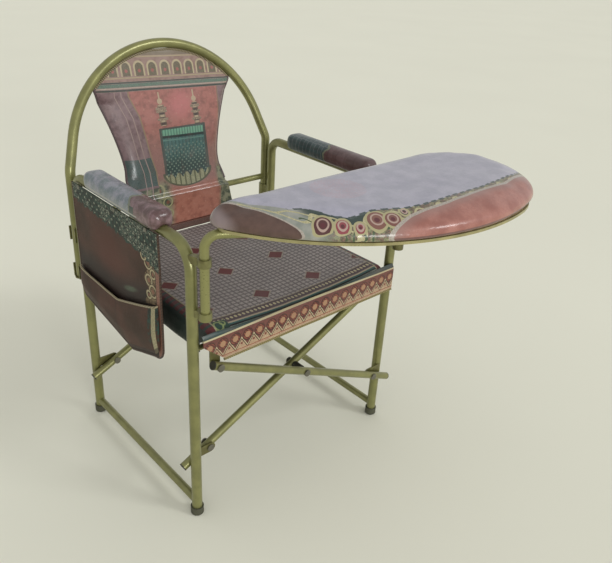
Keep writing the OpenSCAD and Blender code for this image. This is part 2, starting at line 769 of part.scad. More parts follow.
// The back sling, wrapped round the cross bar at its lower edge
module back_sling() {
    function face(dy) = [for (i = [0 : sling_rows]) let (z = sling_z(i)) [for (j = [0 : sling_columns])
        [(2 * j / sling_columns - 1) * max(sling_half(z), 12), sling_y(z) + dy, z]]];
    middle_of_chair() color("#a8604f") difference() {
        union() {
            sheet_solid(face(-sling_t / 2), face(sling_t / 2));
            rod([-sleeve_half, hoop_y, cross_z], [sleeve_half, hoop_y, cross_z], sleeve_r);
        }
        rod([-half_span, hoop_y, cross_z], [half_span, hoop_y, cross_z], cross_d / 2);
    }
}

// The sling's skirt hangs in front of the cross bar down to the rear of the seat
module back_skirt() {
    function skirt_z(i) = skirt_low_z + (skirt_top_z - skirt_low_z) * i / skirt_rows;
    function face(dy) = [for (i = [0 : skirt_rows]) let (z = skirt_z(i)) [for (j = [0 : sling_columns])
        [(2 * j / sling_columns - 1) * sling_half(z), skirt_y + dy, z]]];
    middle_of_chair() color("#a8604f") sheet_solid(face(0), face(skirt_t));
}

// A round bead swept along points that lie in a plane square to Y, with a ring of the given sides
module bead(path, r, sides) {
    n = len(path);
    function along(i) = let (d = path[min(i + 1, n - 1)] - path[max(i - 1, 0)]) d / norm(d);
    function ring(i) = let (t = along(i), out = [-t[2], 0, t[0]]) [for (k = [0 : sides - 1])
        path[i] + r * cos(360 * k / sides) * out + [0, r * sin(360 * k / sides), 0]];
    points = concat([for (i = [0 : n - 1]) each ring(i)], [path[0], path[n - 1]]);
    function at(i, k) = i * sides + k % sides;
    polyhedron(points, concat(
        [for (i = [0 : n - 2], k = [0 : sides - 1]) each
            [[at(i, k), at(i, k + 1), at(i + 1, k + 1)], [at(i, k), at(i + 1, k + 1), at(i + 1, k)]]],
        [for (k = [0 : sides - 1]) [n * sides, at(0, k + 1), at(0, k)]],
        [for (k = [0 : sides - 1]) [n * sides + 1, at(n - 1, k), at(n - 1, k + 1)]]
    ));
}

// The bound edge that runs up one side of the back sling, round its top and down the other
module back_binding() {
    out = binding_d / 2 + seat_gap;
    side = [for (i = [1 : sling_rows]) let (z = sling_z(i)) [max(sling_half(z), 12), sling_y(z), z]];
    loop = concat(side, [for (i = [len(side) - 1 : -1 : 0]) [-side[i][0], side[i][1], side[i][2]]]);
    n = len(loop);
    function away(i) = let (d = loop[min(i + 1, n - 1)] - loop[max(i - 1, 0)], m = norm([d[0], d[2]]))
        loop[i] + out * [d[2], 0, -d[0]] / m;
    middle_of_chair() color("#6a3038") bead([for (i = [0 : n - 1]) away(i)], binding_d / 2, 8);
}

// The bent tube that is the table's swivel post and its support
module table_frame() {
    middle_of_chair() color("#b0a04a") translate([-post_x, post_y, 0]) rotate([0, 0, -support_turn]) {
        pipe([0, 0, post_low_z], [0, 0, support_z - post_bend], post_r);
        translate([post_bend, 0, support_z - post_bend]) rotate([90, 0, 0]) rotate([0, 0, 90])
            pipe_bend(post_bend, post_r, 90);
        pipe([post_bend, 0, support_z], [support_len, 0, support_z], post_r);
    }
}

module on_support() {
    middle_of_chair() translate([-post_x, post_y, 0]) rotate([0, 0, -support_turn]) children();
}

module table_frame_plugs() {
    color("#3d3c30") {
        on_support() rod([support_len, 0, support_z], [support_len + plug_t, 0, support_z], post_r);
        middle_of_chair() translate([-post_x, post_y, post_low_z]) cylinder(h = plug_in, r = post_r - tube_wall);
    }
}

module screw_places() {
    on_support() for (a = cradle_at, dx = [-1, 1], dy = [-1, 1])
        translate([a + dx * cradle_l * 0.35, dy * (post_r + 2 * screw_r - 1), 0]) children();
}

module table_cradles() {
    low = support_z - 2;
    color("#77723a") difference() {
        on_support() for (a = cradle_at)
            translate([a - cradle_l / 2, -cradle_w / 2 - 2, low]) cube([cradle_l, cradle_w + 4, table_z - low]);
        on_support() rod([0, 0, support_z], [support_len, 0, support_z], post_r);
        screw_places() translate([0, 0, low - 1]) cylinder(h = table_z - low + 2, r = screw_r);
    }
}

module table_screws() {
    low = support_z - 2;
    color("#b9b9b4") screw_places() {
        translate([0, 0, low - head_t]) cylinder(h = head_t, r = screw_head_r - 1);
        translate([0, 0, low]) cylinder(h = table_z - low + screw_in, r = screw_r);
    }
}

module table_board() {
    color("#7a5a3c") difference() {
        middle_of_chair() translate([0, 0, table_z]) linear_extrude(board_t)
            polygon(bow(board_tip, board_end, 0, 16));
        screw_places() translate([0, 0, table_z - 1]) cylinder(h = screw_in + 1, r = screw_r);
    }
}

module table_trim() {
    middle_of_chair() color("#b8a34c") translate([0, 0, table_z]) linear_extrude(board_t - 1) difference() {
        polygon(bow(board_tip, board_end, -trim_w, 16));
        polygon(bow(board_tip, board_end, 0, 16));
    }
}

module table_pad() {
    middle_of_chair() color("#8b6b70")
        cushion(bow(pad_tip, pad_end, 0, 16), table_z + board_t + seat_gap, pad_t, pad_crown, 14);
}

// The fixed prop in front of the right front leg that the wide end of the table rests on
module table_prop() {
    right() color("#b0a04a") pipe([post_in, post_y, post_low_z], [post_in, post_y, table_z - 8], post_r);
}

module prop_cap() {
    right() color("#2c2b26") translate([post_in, post_y, table_z - 8]) {
        cylinder(h = 8 - seat_gap, r = post_r);
        translate([0, 0, -plug_in]) cylinder(h = plug_in, r = post_r - tube_wall);
    }
}

// The bag's outline seen from its side, along Y and Z, with its top edge higher at the front by rise
function bag_outline(low, top, rise, front, rear) = concat(
    [[rear, top], [bag_fold_y, top], [-front, top + rise]],
    arc([-front + bag_front_r, low + bag_corner_rise + bag_front_r], bag_front_r, 180, 270, 6),
    [[bag_drop_y, low - bag_drop]],
    arc([rear - bag_rear_r, low + bag_rear_rise + bag_rear_r], bag_rear_r, 270, 360, 5)
);

function pocket_outline(inset, above) =
    bag_outline(bag_low_z + inset, pocket_z + above, pocket_rise, bag_front - inset, bag_rear - inset);

module along_side(x) {
    left() translate([-(x - half_span), 0, 0]) rotate([90, 0, -90]) mirror([1, 0, 0]) children();
}

module bag_panel() {
    color("#5a2f33") difference() {
        along_side(bag_x) linear_extrude(bag_t) polygon(bag_outline(bag_low_z, bag_top_z, 0, bag_front, bag_rear));
        bag_rivet_places() cylinder(h = 2 * bag_t, r = screw_r, center = true);
    }
}

module bag_rivet_places() {
    for (a = rivet_at)
        along_side(bag_x + bag_t / 2) translate([a > 0 ? a * bag_rear : a * bag_front, rivet_z, 0]) children();
}

module bag_rivets() {
    color("#b9b9b4") bag_rivet_places() {
        translate([0, 0, -bag_t / 2 - 3]) cylinder(h = bag_t + 3, r = screw_r);
        translate([0, 0, bag_t / 2]) cylinder(h = 2, r = screw_head_r);
    }
}

// The pocket: a shallow trough open at its top
module bag_pocket() {
    color("#6b3a3c") along_side(bag_x + bag_t) difference() {
        linear_extrude(pocket_depth) polygon(pocket_outline(pocket_in, 0));
        translate([0, 0, -1]) linear_extrude(pocket_depth - pocket_wall + 1)
            polygon(pocket_outline(pocket_in + pocket_wall, 2 * pocket_wall));
    }
}

left_side_tube();
left_bottom_rail();
left_feet();
left_arm_pad();
left_saddles();
left_lugs();
left_pivot_bolts();
left_back_sockets();
post_brackets();
bag_panel();
bag_pocket();
bag_rivets();
front_bar_a();
rear_bar_a();
bar_a_plugs();
centre_bolts();
centre_spacers();
front_bar_b();
rear_bar_b();
bar_b_plugs();
left_seat_rail();
left_rail_ears();
left_rail_bolts();
left_rail_plugs();
seat_sling();
seat_apron();
seat_piping();
right_seat_rail();
right_rail_ears();
right_rail_bolts();
right_rail_plugs();
right_side_tube();
right_bottom_rail();
right_feet();
right_arm_pad();
right_saddles();
right_lugs();
right_pivot_bolts();
right_back_sockets();
table_prop();
prop_brackets();
prop_cap();
back_hoop();
hoop_plugs();
back_crossbar();
back_sling();
back_skirt();
back_binding();
table_frame();
table_frame_plugs();
table_cradles();
table_screws();
table_board();
table_trim();
table_pad();
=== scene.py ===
# A folding prayer chair: gold tube frame, printed slings and pads, and a padded table that swings
import json
import math

import bpy
from mathutils import Matrix, Vector, kdtree, noise


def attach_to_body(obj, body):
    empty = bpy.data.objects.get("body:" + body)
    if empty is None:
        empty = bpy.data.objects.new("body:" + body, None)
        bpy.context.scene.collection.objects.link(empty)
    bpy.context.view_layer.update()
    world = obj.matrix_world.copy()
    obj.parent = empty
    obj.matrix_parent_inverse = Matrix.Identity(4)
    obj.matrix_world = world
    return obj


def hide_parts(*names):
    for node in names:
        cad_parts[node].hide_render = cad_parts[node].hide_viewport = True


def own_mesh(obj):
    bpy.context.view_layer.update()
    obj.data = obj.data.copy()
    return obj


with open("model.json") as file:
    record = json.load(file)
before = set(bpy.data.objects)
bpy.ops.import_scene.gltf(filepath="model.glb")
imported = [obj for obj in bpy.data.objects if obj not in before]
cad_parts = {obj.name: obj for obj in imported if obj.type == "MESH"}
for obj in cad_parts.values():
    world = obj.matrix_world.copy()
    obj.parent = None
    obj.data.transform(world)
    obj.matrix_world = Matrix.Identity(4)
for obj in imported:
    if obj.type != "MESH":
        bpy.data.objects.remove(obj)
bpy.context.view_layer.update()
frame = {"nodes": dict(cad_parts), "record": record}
nodes = frame["nodes"]
print("loaded", len(nodes), "nodes")

home = (-51.25, 99.34)  # the chair's own middle in the frame, in millimetres


def spot(x, y, z):  # a place in the chair's millimetres, facing -Y, in the frame's metres
    return Vector(((x + home[0]) / 1000, (y + home[1]) / 1000, z / 1000))


def clamp(t):
    return max(0.0, min(1.0, t))


def scaled(colour, share):
    return tuple(share * c for c in colour)


# Camera: the photograph's eye point, its view turned to the chair's middle

view = {
    "eye": (-760.4, -1005.0, 1009.6),
    "right": (0.7796, -0.6257, 0.0253),
    "up": (0.2713, 0.3739, 0.8869),
    "turnRight": 0.064,
    "turnUp": -0.004,
    "lens": 39.0,
}


def makeCamera():
    right, up = Vector(view["right"]), Vector(view["up"])
    ahead = (up.cross(right) + view["turnRight"] * right + view["turnUp"] * up).normalized()
    right = (right - right.dot(ahead) * ahead).normalized()
    up = right.cross(ahead)
    bpy.ops.object.camera_add(location=spot(*view["eye"]))
    camera = bpy.context.object
    turned = Matrix((right, up, -ahead)).transposed().to_4x4()
    camera.matrix_world = Matrix.Translation(spot(*view["eye"])) @ turned
    camera.data.lens = view["lens"]
    camera.data.sensor_width = 36
    camera.data.clip_start = 0.05
    bpy.context.scene.camera = camera


makeCamera()


# Shader maths: a wire is a socket that Python's operators can work on

class Wire:
    def __init__(self, paint, socket):
        self.paint = paint
        self.socket = socket

    def math(self, kind, *others):
        return self.paint.add("ShaderNodeMath", {"operation": kind}, [self, *others])

    def takenFrom(self, first):
        return self.paint.add("ShaderNodeMath", {"operation": "SUBTRACT"}, [first, self])

    __add__ = __radd__ = lambda self, other: self.math("ADD", other)
    __sub__ = lambda self, other: self.math("SUBTRACT", other)
    __rsub__ = takenFrom
    __mul__ = __rmul__ = lambda self, other: self.math("MULTIPLY", other)
    __truediv__ = lambda self, other: self.math("DIVIDE", other)
    __mod__ = lambda self, other: self.math("FLOORED_MODULO", other)
    __gt__ = lambda self, other: self.math("GREATER_THAN", other)
    __lt__ = lambda self, other: self.math("LESS_THAN", other)
    __or__ = lambda self, other: self.math("MAXIMUM", other)
    __and__ = lambda self, other: self.math("MINIMUM", other)
    __abs__ = lambda self: self.math("ABSOLUTE")
    sin = lambda self: self.math("SINE")
    root = lambda self: self.math("SQRT")
    squared = lambda self: self * self

    def near(self, middle, half):  # 1 within half of middle
        return abs(self - middle) < half

    def soft(self, low, high):  # 0 below low, 1 above high, smooth between
        return self.ramp(low, high, "SMOOTHSTEP")

    def ramp(self, low, high, way="LINEAR"):  # 0 below low, 1 above high
        inputs = [self, low, high, 0.0, 1.0]
        return self.paint.add("ShaderNodeMapRange", {"interpolation_type": way}, inputs)

    def cell(self, size, start=0.0):  # distance from the middle of its repeat
        return abs((self - start) % size - size / 2)


class Paint:
    def __init__(self, name, **fixed):
        self.material = bpy.data.materials.new(name)
        self.material.use_nodes = True
        self.tree = self.material.node_tree
        self.tree.nodes.clear()
        self.shader = self.tree.nodes.new("ShaderNodeBsdfPrincipled")
        out = self.tree.nodes.new("ShaderNodeOutputMaterial")
        self.tree.links.new(self.shader.outputs[0], out.inputs[0])
        self.coords = self.tree.nodes.new("ShaderNodeTexCoord").outputs["Object"]
        for key, value in fixed.items():
            self.put(key.replace("_", " "), value)

    def add(self, kind, settings, inputs, output=0):
        node = self.tree.nodes.new(kind)
        for key, value in settings.items():
            setattr(node, key, value)
        pairs = inputs.items() if isinstance(inputs, dict) else enumerate(inputs)
        for key, value in pairs:
            self.join(node.inputs[key], value)
        return Wire(self, node.outputs[output])

    def join(self, socket, value):
        if isinstance(value, Wire):
            self.tree.links.new(value.socket, socket)
        elif isinstance(value, (tuple, list)) and len(value) == 3 and socket.type == "RGBA":
            socket.default_value = (*(c / 1000 for c in value), 1)
        else:
            socket.default_value = value

    def put(self, name, value):
        self.join(self.shader.inputs[name], value)

    def place(self):  # X, Y and Z in the chair's millimetres
        split = self.tree.nodes.new("ShaderNodeSeparateXYZ")
        self.tree.links.new(self.coords, split.inputs[0])
        x, y, z = (Wire(self, s) for s in split.outputs)
        return x * 1000 - home[0], y * 1000 - home[1], z * 1000

    def noise(self, scale, detail=2.0, rough=0.5, stretch=None):
        where = Wire(self, self.coords)
        if stretch:
            where = self.add("ShaderNodeVectorMath", {"operation": "MULTIPLY"}, [where, stretch])
        inputs = {"Vector": where, "Scale": scale, "Detail": detail, "Roughness": rough}
        return self.add("ShaderNodeTexNoise", {}, inputs)

    def mix(self, mask, a, b):
        return self.add("ShaderNodeMix", {"data_type": "RGBA"}, {0: mask, 6: a, 7: b}, 2)

    def layers(self, field, *rows):  # a row is a mask and its colour, or its dark and light thread
        for mask, *colours in rows:
            colour = self.threads(*colours) if len(colours) > 1 else colours[0]
            field = self.mix(mask, field, colour)
        return field

    def threads(self, dark, light):
        return self.mix(self.grain, dark, light)

    def coloured(self, value):
        self.put("Base Color", value)
        return self

    def bump(self, height, depth):
        inputs = {"Distance": depth, "Strength": 1.0, "Height": height}
        self.put("Normal", self.add("ShaderNodeBump", {}, inputs))


facesOf = {}  # how many faces each sheet has on one side


def dress(piece, paint, lining=None):
    piece.data.materials.clear()
    piece.data.materials.append(paint.material)
    if lining:  # on the rear side of a sheet
        piece.data.materials.append(lining.material)
        count = facesOf[piece.name]
        for face in piece.data.polygons[count:2 * count]:
            face.material_index = 1


# Colours, as linear values in thousandths

gold = (235, 232, 85)
goldDark = (115, 105, 32)
cream = (460, 410, 250)
teal = (30, 85, 78)


# Materials of the frame

def goldPaint(name, base, dark, rough):
    paint = Paint(name, Metallic=0.5, Coat_Roughness=0.2, Coat_Weight=0.3)
    hammer = paint.noise(420, 2.0, 0.55)
    wear = paint.noise(26, 3.0, 0.6)
    paint.put("Roughness", hammer * 0.16 + rough)
    paint.bump(hammer * 0.6 + wear * 0.4, 0.0003)
    return paint.coloured(paint.mix(wear.soft(0.36, 0.66), dark, base))


def plainPaint(name, base, rough, metallic=0.0, grain=300, depth=0.0002):
    paint = Paint(name, Metallic=metallic)
    fine = paint.noise(grain, 3.0, 0.6)
    shade = paint.noise(35, 2.0, 0.5)
    paint.put("Roughness", fine * 0.2 + rough)
    paint.bump(fine, depth)
    return paint.coloured(paint.mix(shade.soft(0.3, 0.7), scaled(base, 0.72), base))


tube = goldPaint("gold tube paint", gold, scaled(gold, 0.8), 0.26)
bracketPaint = goldPaint("bracket paint", scaled(gold, 0.85), goldDark, 0.3)
tableTube = goldPaint("table tube paint", scaled(gold, 1.1), gold, 0.22)
zinc = plainPaint("zinc plate", (220, 210, 170), 0.3, 0.8, 500, 0.0001)
rubber = plainPaint("foot rubber", (62, 62, 36), 0.5, 0.0, 500, 0.0002)
plugPlastic = plainPaint("plug plastic", (35, 34, 24), 0.42)
trimPlastic = plainPaint("gold trim", (400, 360, 170), 0.2, 0.35)


def boardWood():
    paint = Paint("board wood", Specular_IOR_Level=0.3)
    grain = paint.noise(60, 5.0, 0.6, (1.0, 9.0, 9.0))
    pores = paint.noise(500, 2.0, 0.5, (0.3, 3.0, 3.0))
    paint.put("Roughness", pores * 0.2 + 0.5)
    paint.bump(grain * 0.5 + pores, 0.0003)
    return paint.coloured(paint.mix(grain.soft(0.35, 0.65), (200, 125, 65), (340, 230, 130)))


wood = boardWood()
print("frame materials ready")

finishOf = {
    "gold_paint": tube, "bracket_paint": bracketPaint, "zinc": zinc, "dark_rubber": rubber,
    "dark_plastic": plugPlastic, "gold_trim": trimPlastic, "board_wood": wood,
}
for entry in frame["record"]["subparts"]:
    finish = finishOf.get(entry["material_slot"])
    if finish:
        dress(nodes[entry["node"]], finish)
for name in ("table_frame", "table_prop"):
    dress(nodes[name], tableTube)


# Making pieces

def onlyThis(piece):
    bpy.ops.object.select_all(action="DESELECT")
    piece.select_set(True)
    bpy.context.view_layer.objects.active = piece


def applyAll(piece):
    onlyThis(piece)
    for modifier in list(piece.modifiers):
        bpy.ops.object.modifier_apply(modifier=modifier.name)


def modify(piece, name, kind, **settings):
    modifier = piece.modifiers.new(name, kind)
    for key, value in settings.items():
        setattr(modifier, key, value)
    return modifier


def remesh(piece, size):  # an even mesh of small squares
    modify(piece, "remesh", "REMESH", mode="VOXEL", voxel_size=size)
    applyAll(piece)


def smooth(piece, angle):
    onlyThis(piece)
    bpy.ops.object.shade_smooth_by_angle(angle=math.radians(angle))


def makeSheet(name, columns, rows, place, thick, share=None, mark=None):
    # A grid laid where place(u, v) says. share(u, v) thins its wall and mark(u, v) is its UV.
    bpy.ops.mesh.primitive_grid_add(x_subdivisions=columns, y_subdivisions=rows, size=1)
    piece = bpy.context.object
    piece.name = name
    mesh = piece.data
    facesOf[name] = len(mesh.polygons)
    spots = [(v.co.x + 0.5, v.co.y + 0.5) for v in mesh.vertices]
    for vertex, (u, v) in zip(mesh.vertices, spots):
        vertex.co = place(u, v)
    if mark:
        layer = mesh.uv_layers.active
        for loop in mesh.loops:
            layer.data[loop.index].uv = mark(*spots[loop.vertex_index])
    wall = modify(piece, "wall", "SOLIDIFY", thickness=thick / 1000, offset=0)
    if share:
        group = piece.vertex_groups.new(name="share")
        for vertex, (u, v) in zip(mesh.vertices, spots):
            group.add([vertex.index], max(0.02, min(1.0, share(u, v))), "REPLACE")
        wall.vertex_group = "share"
    applyAll(piece)
    smooth(piece, 60)
    return piece


def makeBead(name, points, radius):  # a round cord along points in the frame's metres
    line = bpy.data.curves.new(name, "CURVE")
    line.dimensions = "3D"
    line.bevel_depth = radius / 1000
    line.bevel_resolution = 4
    line.use_fill_caps = True
    spline = line.splines.new("POLY")
    spline.points.add(len(points) - 1)
    for knot, point in zip(spline.points, points):
        knot.co = (*point, 1)
    piece = bpy.data.objects.new(name, line)
    bpy.context.scene.collection.objects.link(piece)
    onlyThis(piece)
    bpy.ops.object.convert(target="MESH")
    piece = bpy.context.object
    bpy.ops.object.mode_set(mode="EDIT")
    bpy.ops.mesh.select_all(action="SELECT")
    bpy.ops.mesh.remove_doubles(threshold=0.00002)
    bpy.ops.mesh.normals_make_consistent(inside=False)
    bpy.ops.object.mode_set(mode="OBJECT")
    smooth(piece, 60)
    return piece


fabric = {
    "quality": 5,
    "mass": 0.3,
    "tension_stiffness": 12.0,
    "compression_stiffness": 12.0,
    "bending_stiffness": 0.5,
}


def inflate(piece, voxel, pressure, cap, rounds, isHeld):
    # Blows a closed form up like a stuffed cover, the side it is fixed by held, then smooths it once
    remesh(piece, voxel)
    mesh = piece.data
    start = [v.co.copy() for v in mesh.vertices]
    held = piece.vertex_groups.new(name="held")
    held.add([v.index for v in mesh.vertices if isHeld(v.co)], 1.0, "REPLACE")
    cloth = piece.modifiers.new("cloth", "CLOTH")
    for key, value in fabric.items():
        setattr(cloth.settings, key, value)
    cloth.settings.vertex_group_mass = "held"
    cloth.settings.use_pressure = True
    cloth.settings.uniform_pressure_force = pressure
    cloth.settings.effector_weights.gravity = 0
    cloth.collision_settings.use_collision = False
    scene = bpy.context.scene
    for step in range(1, 21):
        scene.frame_set(step)
    swollen = piece.evaluated_get(bpy.context.evaluated_depsgraph_get()).data
    ends = [v.co.copy() for v in swollen.vertices]
    piece.modifiers.remove(cloth)
    for vertex, a, b in zip(mesh.vertices, start, ends):
        move = b - a
        vertex.co = a + move * min(1.0, cap / max(move.length, 1e-9))
    scene.frame_set(1)
    piece.vertex_groups.clear()
    modify(piece, "relax", "SMOOTH", iterations=rounds, factor=0.5)
    modify(piece, "finer", "SUBSURF", levels=1, render_levels=1)
    applyAll(piece)
    smooth(piece, 80)


def flatArea(piece):  # one side of a sheet, in square metres
    return sum(p.area for p in piece.data.polygons) / 2


# Cloth patterns: masks from 0 to 1 over the chair's millimetres

def farSquared(a, b, middleA, middleB):
    return (a - middleA).squared() + (b - middleB).squared()


def ring(a, b, middleA, middleB, radius, half):
    return farSquared(a, b, middleA, middleB).root().near(radius, half)


def disc(a, b, middleA, middleB, radius):
    return farSquared(a, b, middleA, middleB) < radius * radius


def patch(a, b, middleA, middleB, radius):  # full in the middle, gone at the radius
    return 1 - farSquared(a, b, middleA, middleB).root().soft(radius * 0.2, radius)


def lozenge(a, b, pitch):  # a slanted check
    return (a + b).cell(pitch) + (a - b).cell(pitch)


def between(a, low, high):
    return a.near((low + high) / 2, (high - low) / 2)


def through(a, points):  # a broken line's height over a, level beyond its ends
    height = points[0][1]
    for (a0, b0), (a1, b1) in zip(points, points[1:]):
        height = a.ramp(a0, a1) * (b1 - b0) + height
    return height


def clothPaint(name, rough, coat, weave, depth):
    paint = Paint(name, Coat_Roughness=0.15, Specular_IOR_Level=0.3)
    fine = paint.noise(weave, 2.0, 0.5)
    broad = paint.noise(18, 2.0, 0.5)
    paint.put("Roughness", fine * 0.14 + rough)
    paint.put("Coat Weight", broad * coat)
    paint.bump(fine * 0.7 + broad * 0.3, depth)
    paint.fine, paint.broad, paint.grain = fine, broad, fine.soft(0.3, 0.7)
    return paint


def strew(paint, field, a, b, places, *bands):
    # Round motifs at places (a, b, radius). A band is a colour, its share of the radius, its half width.
    for middleA, middleB, radius in places:
        for colour, share, *half in bands:
            form = ring if half else disc
            field = paint.mix(form(a, b, middleA, middleB, radius * share, *half), field, colour)
    return field


def woven(paint, a, b, pitch):  # a plain weave's height over two directions
    across = (a * (math.pi / pitch)).sin()
    along = (b * (math.pi / pitch)).sin()
    return across * along * 0.5 + 0.5


# Seat: a padded sling over both rails, its sides hanging as flaps

seatSize = {
    "railX": 209.0,
    "railZ": 388.0,
    "level": 195.0,  # half width of the part that sags
    "wrap": 14.6,  # middle of the cloth round the rail
    "pad": 9.0,
    "flap": 3.2,
    "flapLow": 357.0,
    "flapY": 186.0,
    "sag": 9.5,
    "frontY": -207.0,
    "rearY": 206.0,
    "roll": 6.0,
}


def seatPath():
    # The seat's section from the middle outwards, as points (x, z) and their lengths along the cloth
    s = seatSize
    high = s["railZ"] + s["wrap"]
    points = []
    for i in range(41):
        x = s["level"] * i / 40
        points.append((x, high - s["sag"] * (1 - (x / s["level"]) ** 2)))
    for i in range(1, 4):
        points.append((s["level"] + (s["railX"] - s["level"]) * i / 3, high))
    for i in range(1, 13):
        a = math.radians(90 - 90 * i / 12)
        points.append((s["railX"] + s["wrap"] * math.cos(a), s["railZ"] + s["wrap"] * math.sin(a)))
    for i in range(1, 8):
        t = i / 7
        drop = (s["railZ"] - s["flapLow"]) * t
        points.append((s["railX"] + s["wrap"] + 1.5 * math.sin(3 * t), s["railZ"] - drop))
    lengths = [0.0]
    for (x0, z0), (x1, z1) in zip(points, points[1:]):
        lengths.append(lengths[-1] + math.hypot(x1 - x0, z1 - z0))
    return points, lengths


seatPoints, seatLengths = seatPath()
seatHalf = seatLengths[-1]
seatDeep = seatSize["rearY"] - seatSize["frontY"]


def seatAt(along):  # x and z at a length along the cloth from the middle, either way
    side = -1 if along < 0 else 1
    far = min(abs(along), seatHalf)
    k = next(i for i in range(1, len(seatLengths)) if seatLengths[i] >= far - 1e-9)
    t = (far - seatLengths[k - 1]) / (seatLengths[k] - seatLengths[k - 1])
    (x0, z0), (x1, z1) = seatPoints[k - 1], seatPoints[k]
    return side * (x0 + (x1 - x0) * t), z0 + (z1 - z0) * t


def ripple(a, b, size, seed):  # a smooth, fixed wander between -1 and 1
    return noise.noise(Vector((a / size + seed, b / size - seed, 0.7 * seed)))


def seatPlace(u, v):
    s = seatSize
    along = (2 * u - 1) * seatHalf
    x, z = seatAt(along)
    y = s["frontY"] + seatDeep * v
    low = clamp((s["railZ"] - z) / 12)
    y = y * (1 - low) + max(-s["flapY"], min(s["flapY"], y)) * low  # the flaps end short of the legs
    edge = max(0.0, 1 - (y - s["frontY"]) / 14)
    z -= s["roll"] * edge ** 2 * (1 - low)
    middle = max(0.0, 1 - abs(x) / 200)
    z += (1.6 * ripple(x, y, 70, 3.1) + 0.5 * ripple(x, y, 22, 1.7)) * min(1, middle * 4)
    x += math.copysign(1.2, x) * ripple(y, z, 45, 5.2) * low
    return spot(x, y, z)


def seatShare(u, v):
    along = abs(2 * u - 1) * seatHalf
    side = 1 - clamp((along - 205) / 22) * (1 - seatSize["flap"] / seatSize["pad"])
    end = 0.45 + 0.55 * min(1.0, min(v, 1 - v) * seatDeep / 9) ** 0.5
    return side * end * (0.6 + 0.4 * min(1.0, (seatHalf - along) / 4))


def makeSeat():
    def mark(u, v):
        return (2 * u - 1) * seatHalf / 1000, (seatSize["frontY"] + seatDeep * v) / 1000

    return makeSheet("seatCover", 150, 96, seatPlace, seatSize["pad"], seatShare, mark)


# Apron: hangs from the seat's front edge, cut back at its lower left

apronSize = {
    "left": -236.0,
    "cut": -193.0,
    "right": 246.0,
    "top": 403.5,
    "corner": 384.0,  # where the slanting left edge begins
    "low": 347.5,
    "y": -215.2,
    "thick": 2.6,
}


def apronLeft(z):
    s = apronSize
    if z > s["corner"]:
        return s["left"]
    return s["cut"] + (s["left"] - s["cut"]) * (z - s["low"]) / (s["corner"] - s["low"])


def apronPlace(u, v):
    s = apronSize
    z = s["low"] + (s["top"] - s["low"]) * v
    left = apronLeft(z)
    x = left + (s["right"] - left) * u
    lean = max(0.0, (z - 393) / 10.5)
    y = s["y"] + 5.5 * lean ** 2 + 0.7 * ripple(x, z, 60, 2.3) * (1 - v)
    if abs(x) < 209:
        z -= 7.5 * (1 - (x / 209) ** 2) * v ** 2
    return spot(x, y, z)


def makeApron():
    apron = makeSheet("frontApron", 120, 18, apronPlace, apronSize["thick"])
    edge = [apronPlace(i / 90, 0) + Vector((0, 0, -0.0028)) for i in range(91)]
    piping = makeBead("apronPiping", edge, 2.4)
    return apron, piping


# Materials of the seat

def seatCloth():
    paint = clothPaint("seat cloth", 0.42, 0.18, 900, 0.0006)
    split = paint.tree.nodes.new("ShaderNodeSeparateXYZ")
    paint.tree.links.new(paint.tree.nodes.new("ShaderNodeUVMap").outputs[0], split.inputs[0])
    x, y = Wire(paint, split.outputs[0]) * 1000, Wire(paint, split.outputs[1]) * 1000
    checkA, checkB = x.cell(11), y.cell(11)
    lines = (checkA < 1.5) | (checkB < 1.5)
    knots = ((checkA > 3.4) & (checkB > 3.4)) | ((x.cell(22) > 9.6) & (y.cell(22) > 9.6))
    diamond = x.cell(132, 12) / 26 + y.cell(118, 33) / 24
    border = between(y, -197, -177) & between(x + paint.broad * 5 - 2.5, -214, 214)
    dots = x.cell(9).squared() + (y + 187).squared() * 0.5 < 7.5
    corner = between(x, -213, -174) & between(y, -209, -186)
    sprig = ring(x, y, -194, -198, 8, 1.6) | ring(x, y, -184, -194, 5, 1.4) | disc(x, y, -205, -194, 3)
    field = paint.layers(
        paint.threads((220, 198, 185), (420, 380, 375)),
        (lines * 0.75, (85, 68, 66)),
        (knots * 0.8, (360, 330, 300)),
        # dark red diamonds strewn over the check
        (diamond.near(0.82, 0.09) * 0.6, (340, 290, 220)),
        (diamond < 0.75, paint.mix((x + y).cell(6) > 2.0, (160, 30, 30), (60, 20, 20))),
        # dotted and striped border along the front
        (border, paint.mix(dots, (75, 50, 55), cream)),
        (y.near(-177, 1.2) | y.near(-197.5, 1.4), (300, 260, 180)),
        (y < -199, teal),
        (y.near(-206, 2.2), (260, 290, 240)),
        (y.near(-202.5, 1.0), (10, 12, 12)),
        # a green corner with a gold sprig
        (corner, paint.mix(sprig, (15, 50, 35), (200, 260, 100))),
        # side borders and the dark flaps
        (abs(x) > 203, paint.mix(y.cell(16) > 5, (100, 20, 22), (30, 50, 40))),
        (abs(x).near(203, 1.3), (320, 280, 170)),
        (abs(x) > 219, (12, 22, 18), (30, 50, 40)),
        (paint.broad.soft(0.25, 0.75) * 0.25, (90, 80, 80)),
    )
    paint.bump(paint.fine * 0.5 + woven(paint, x, y, 2.2) * 0.5, 0.0005)
    return paint.coloured(field)


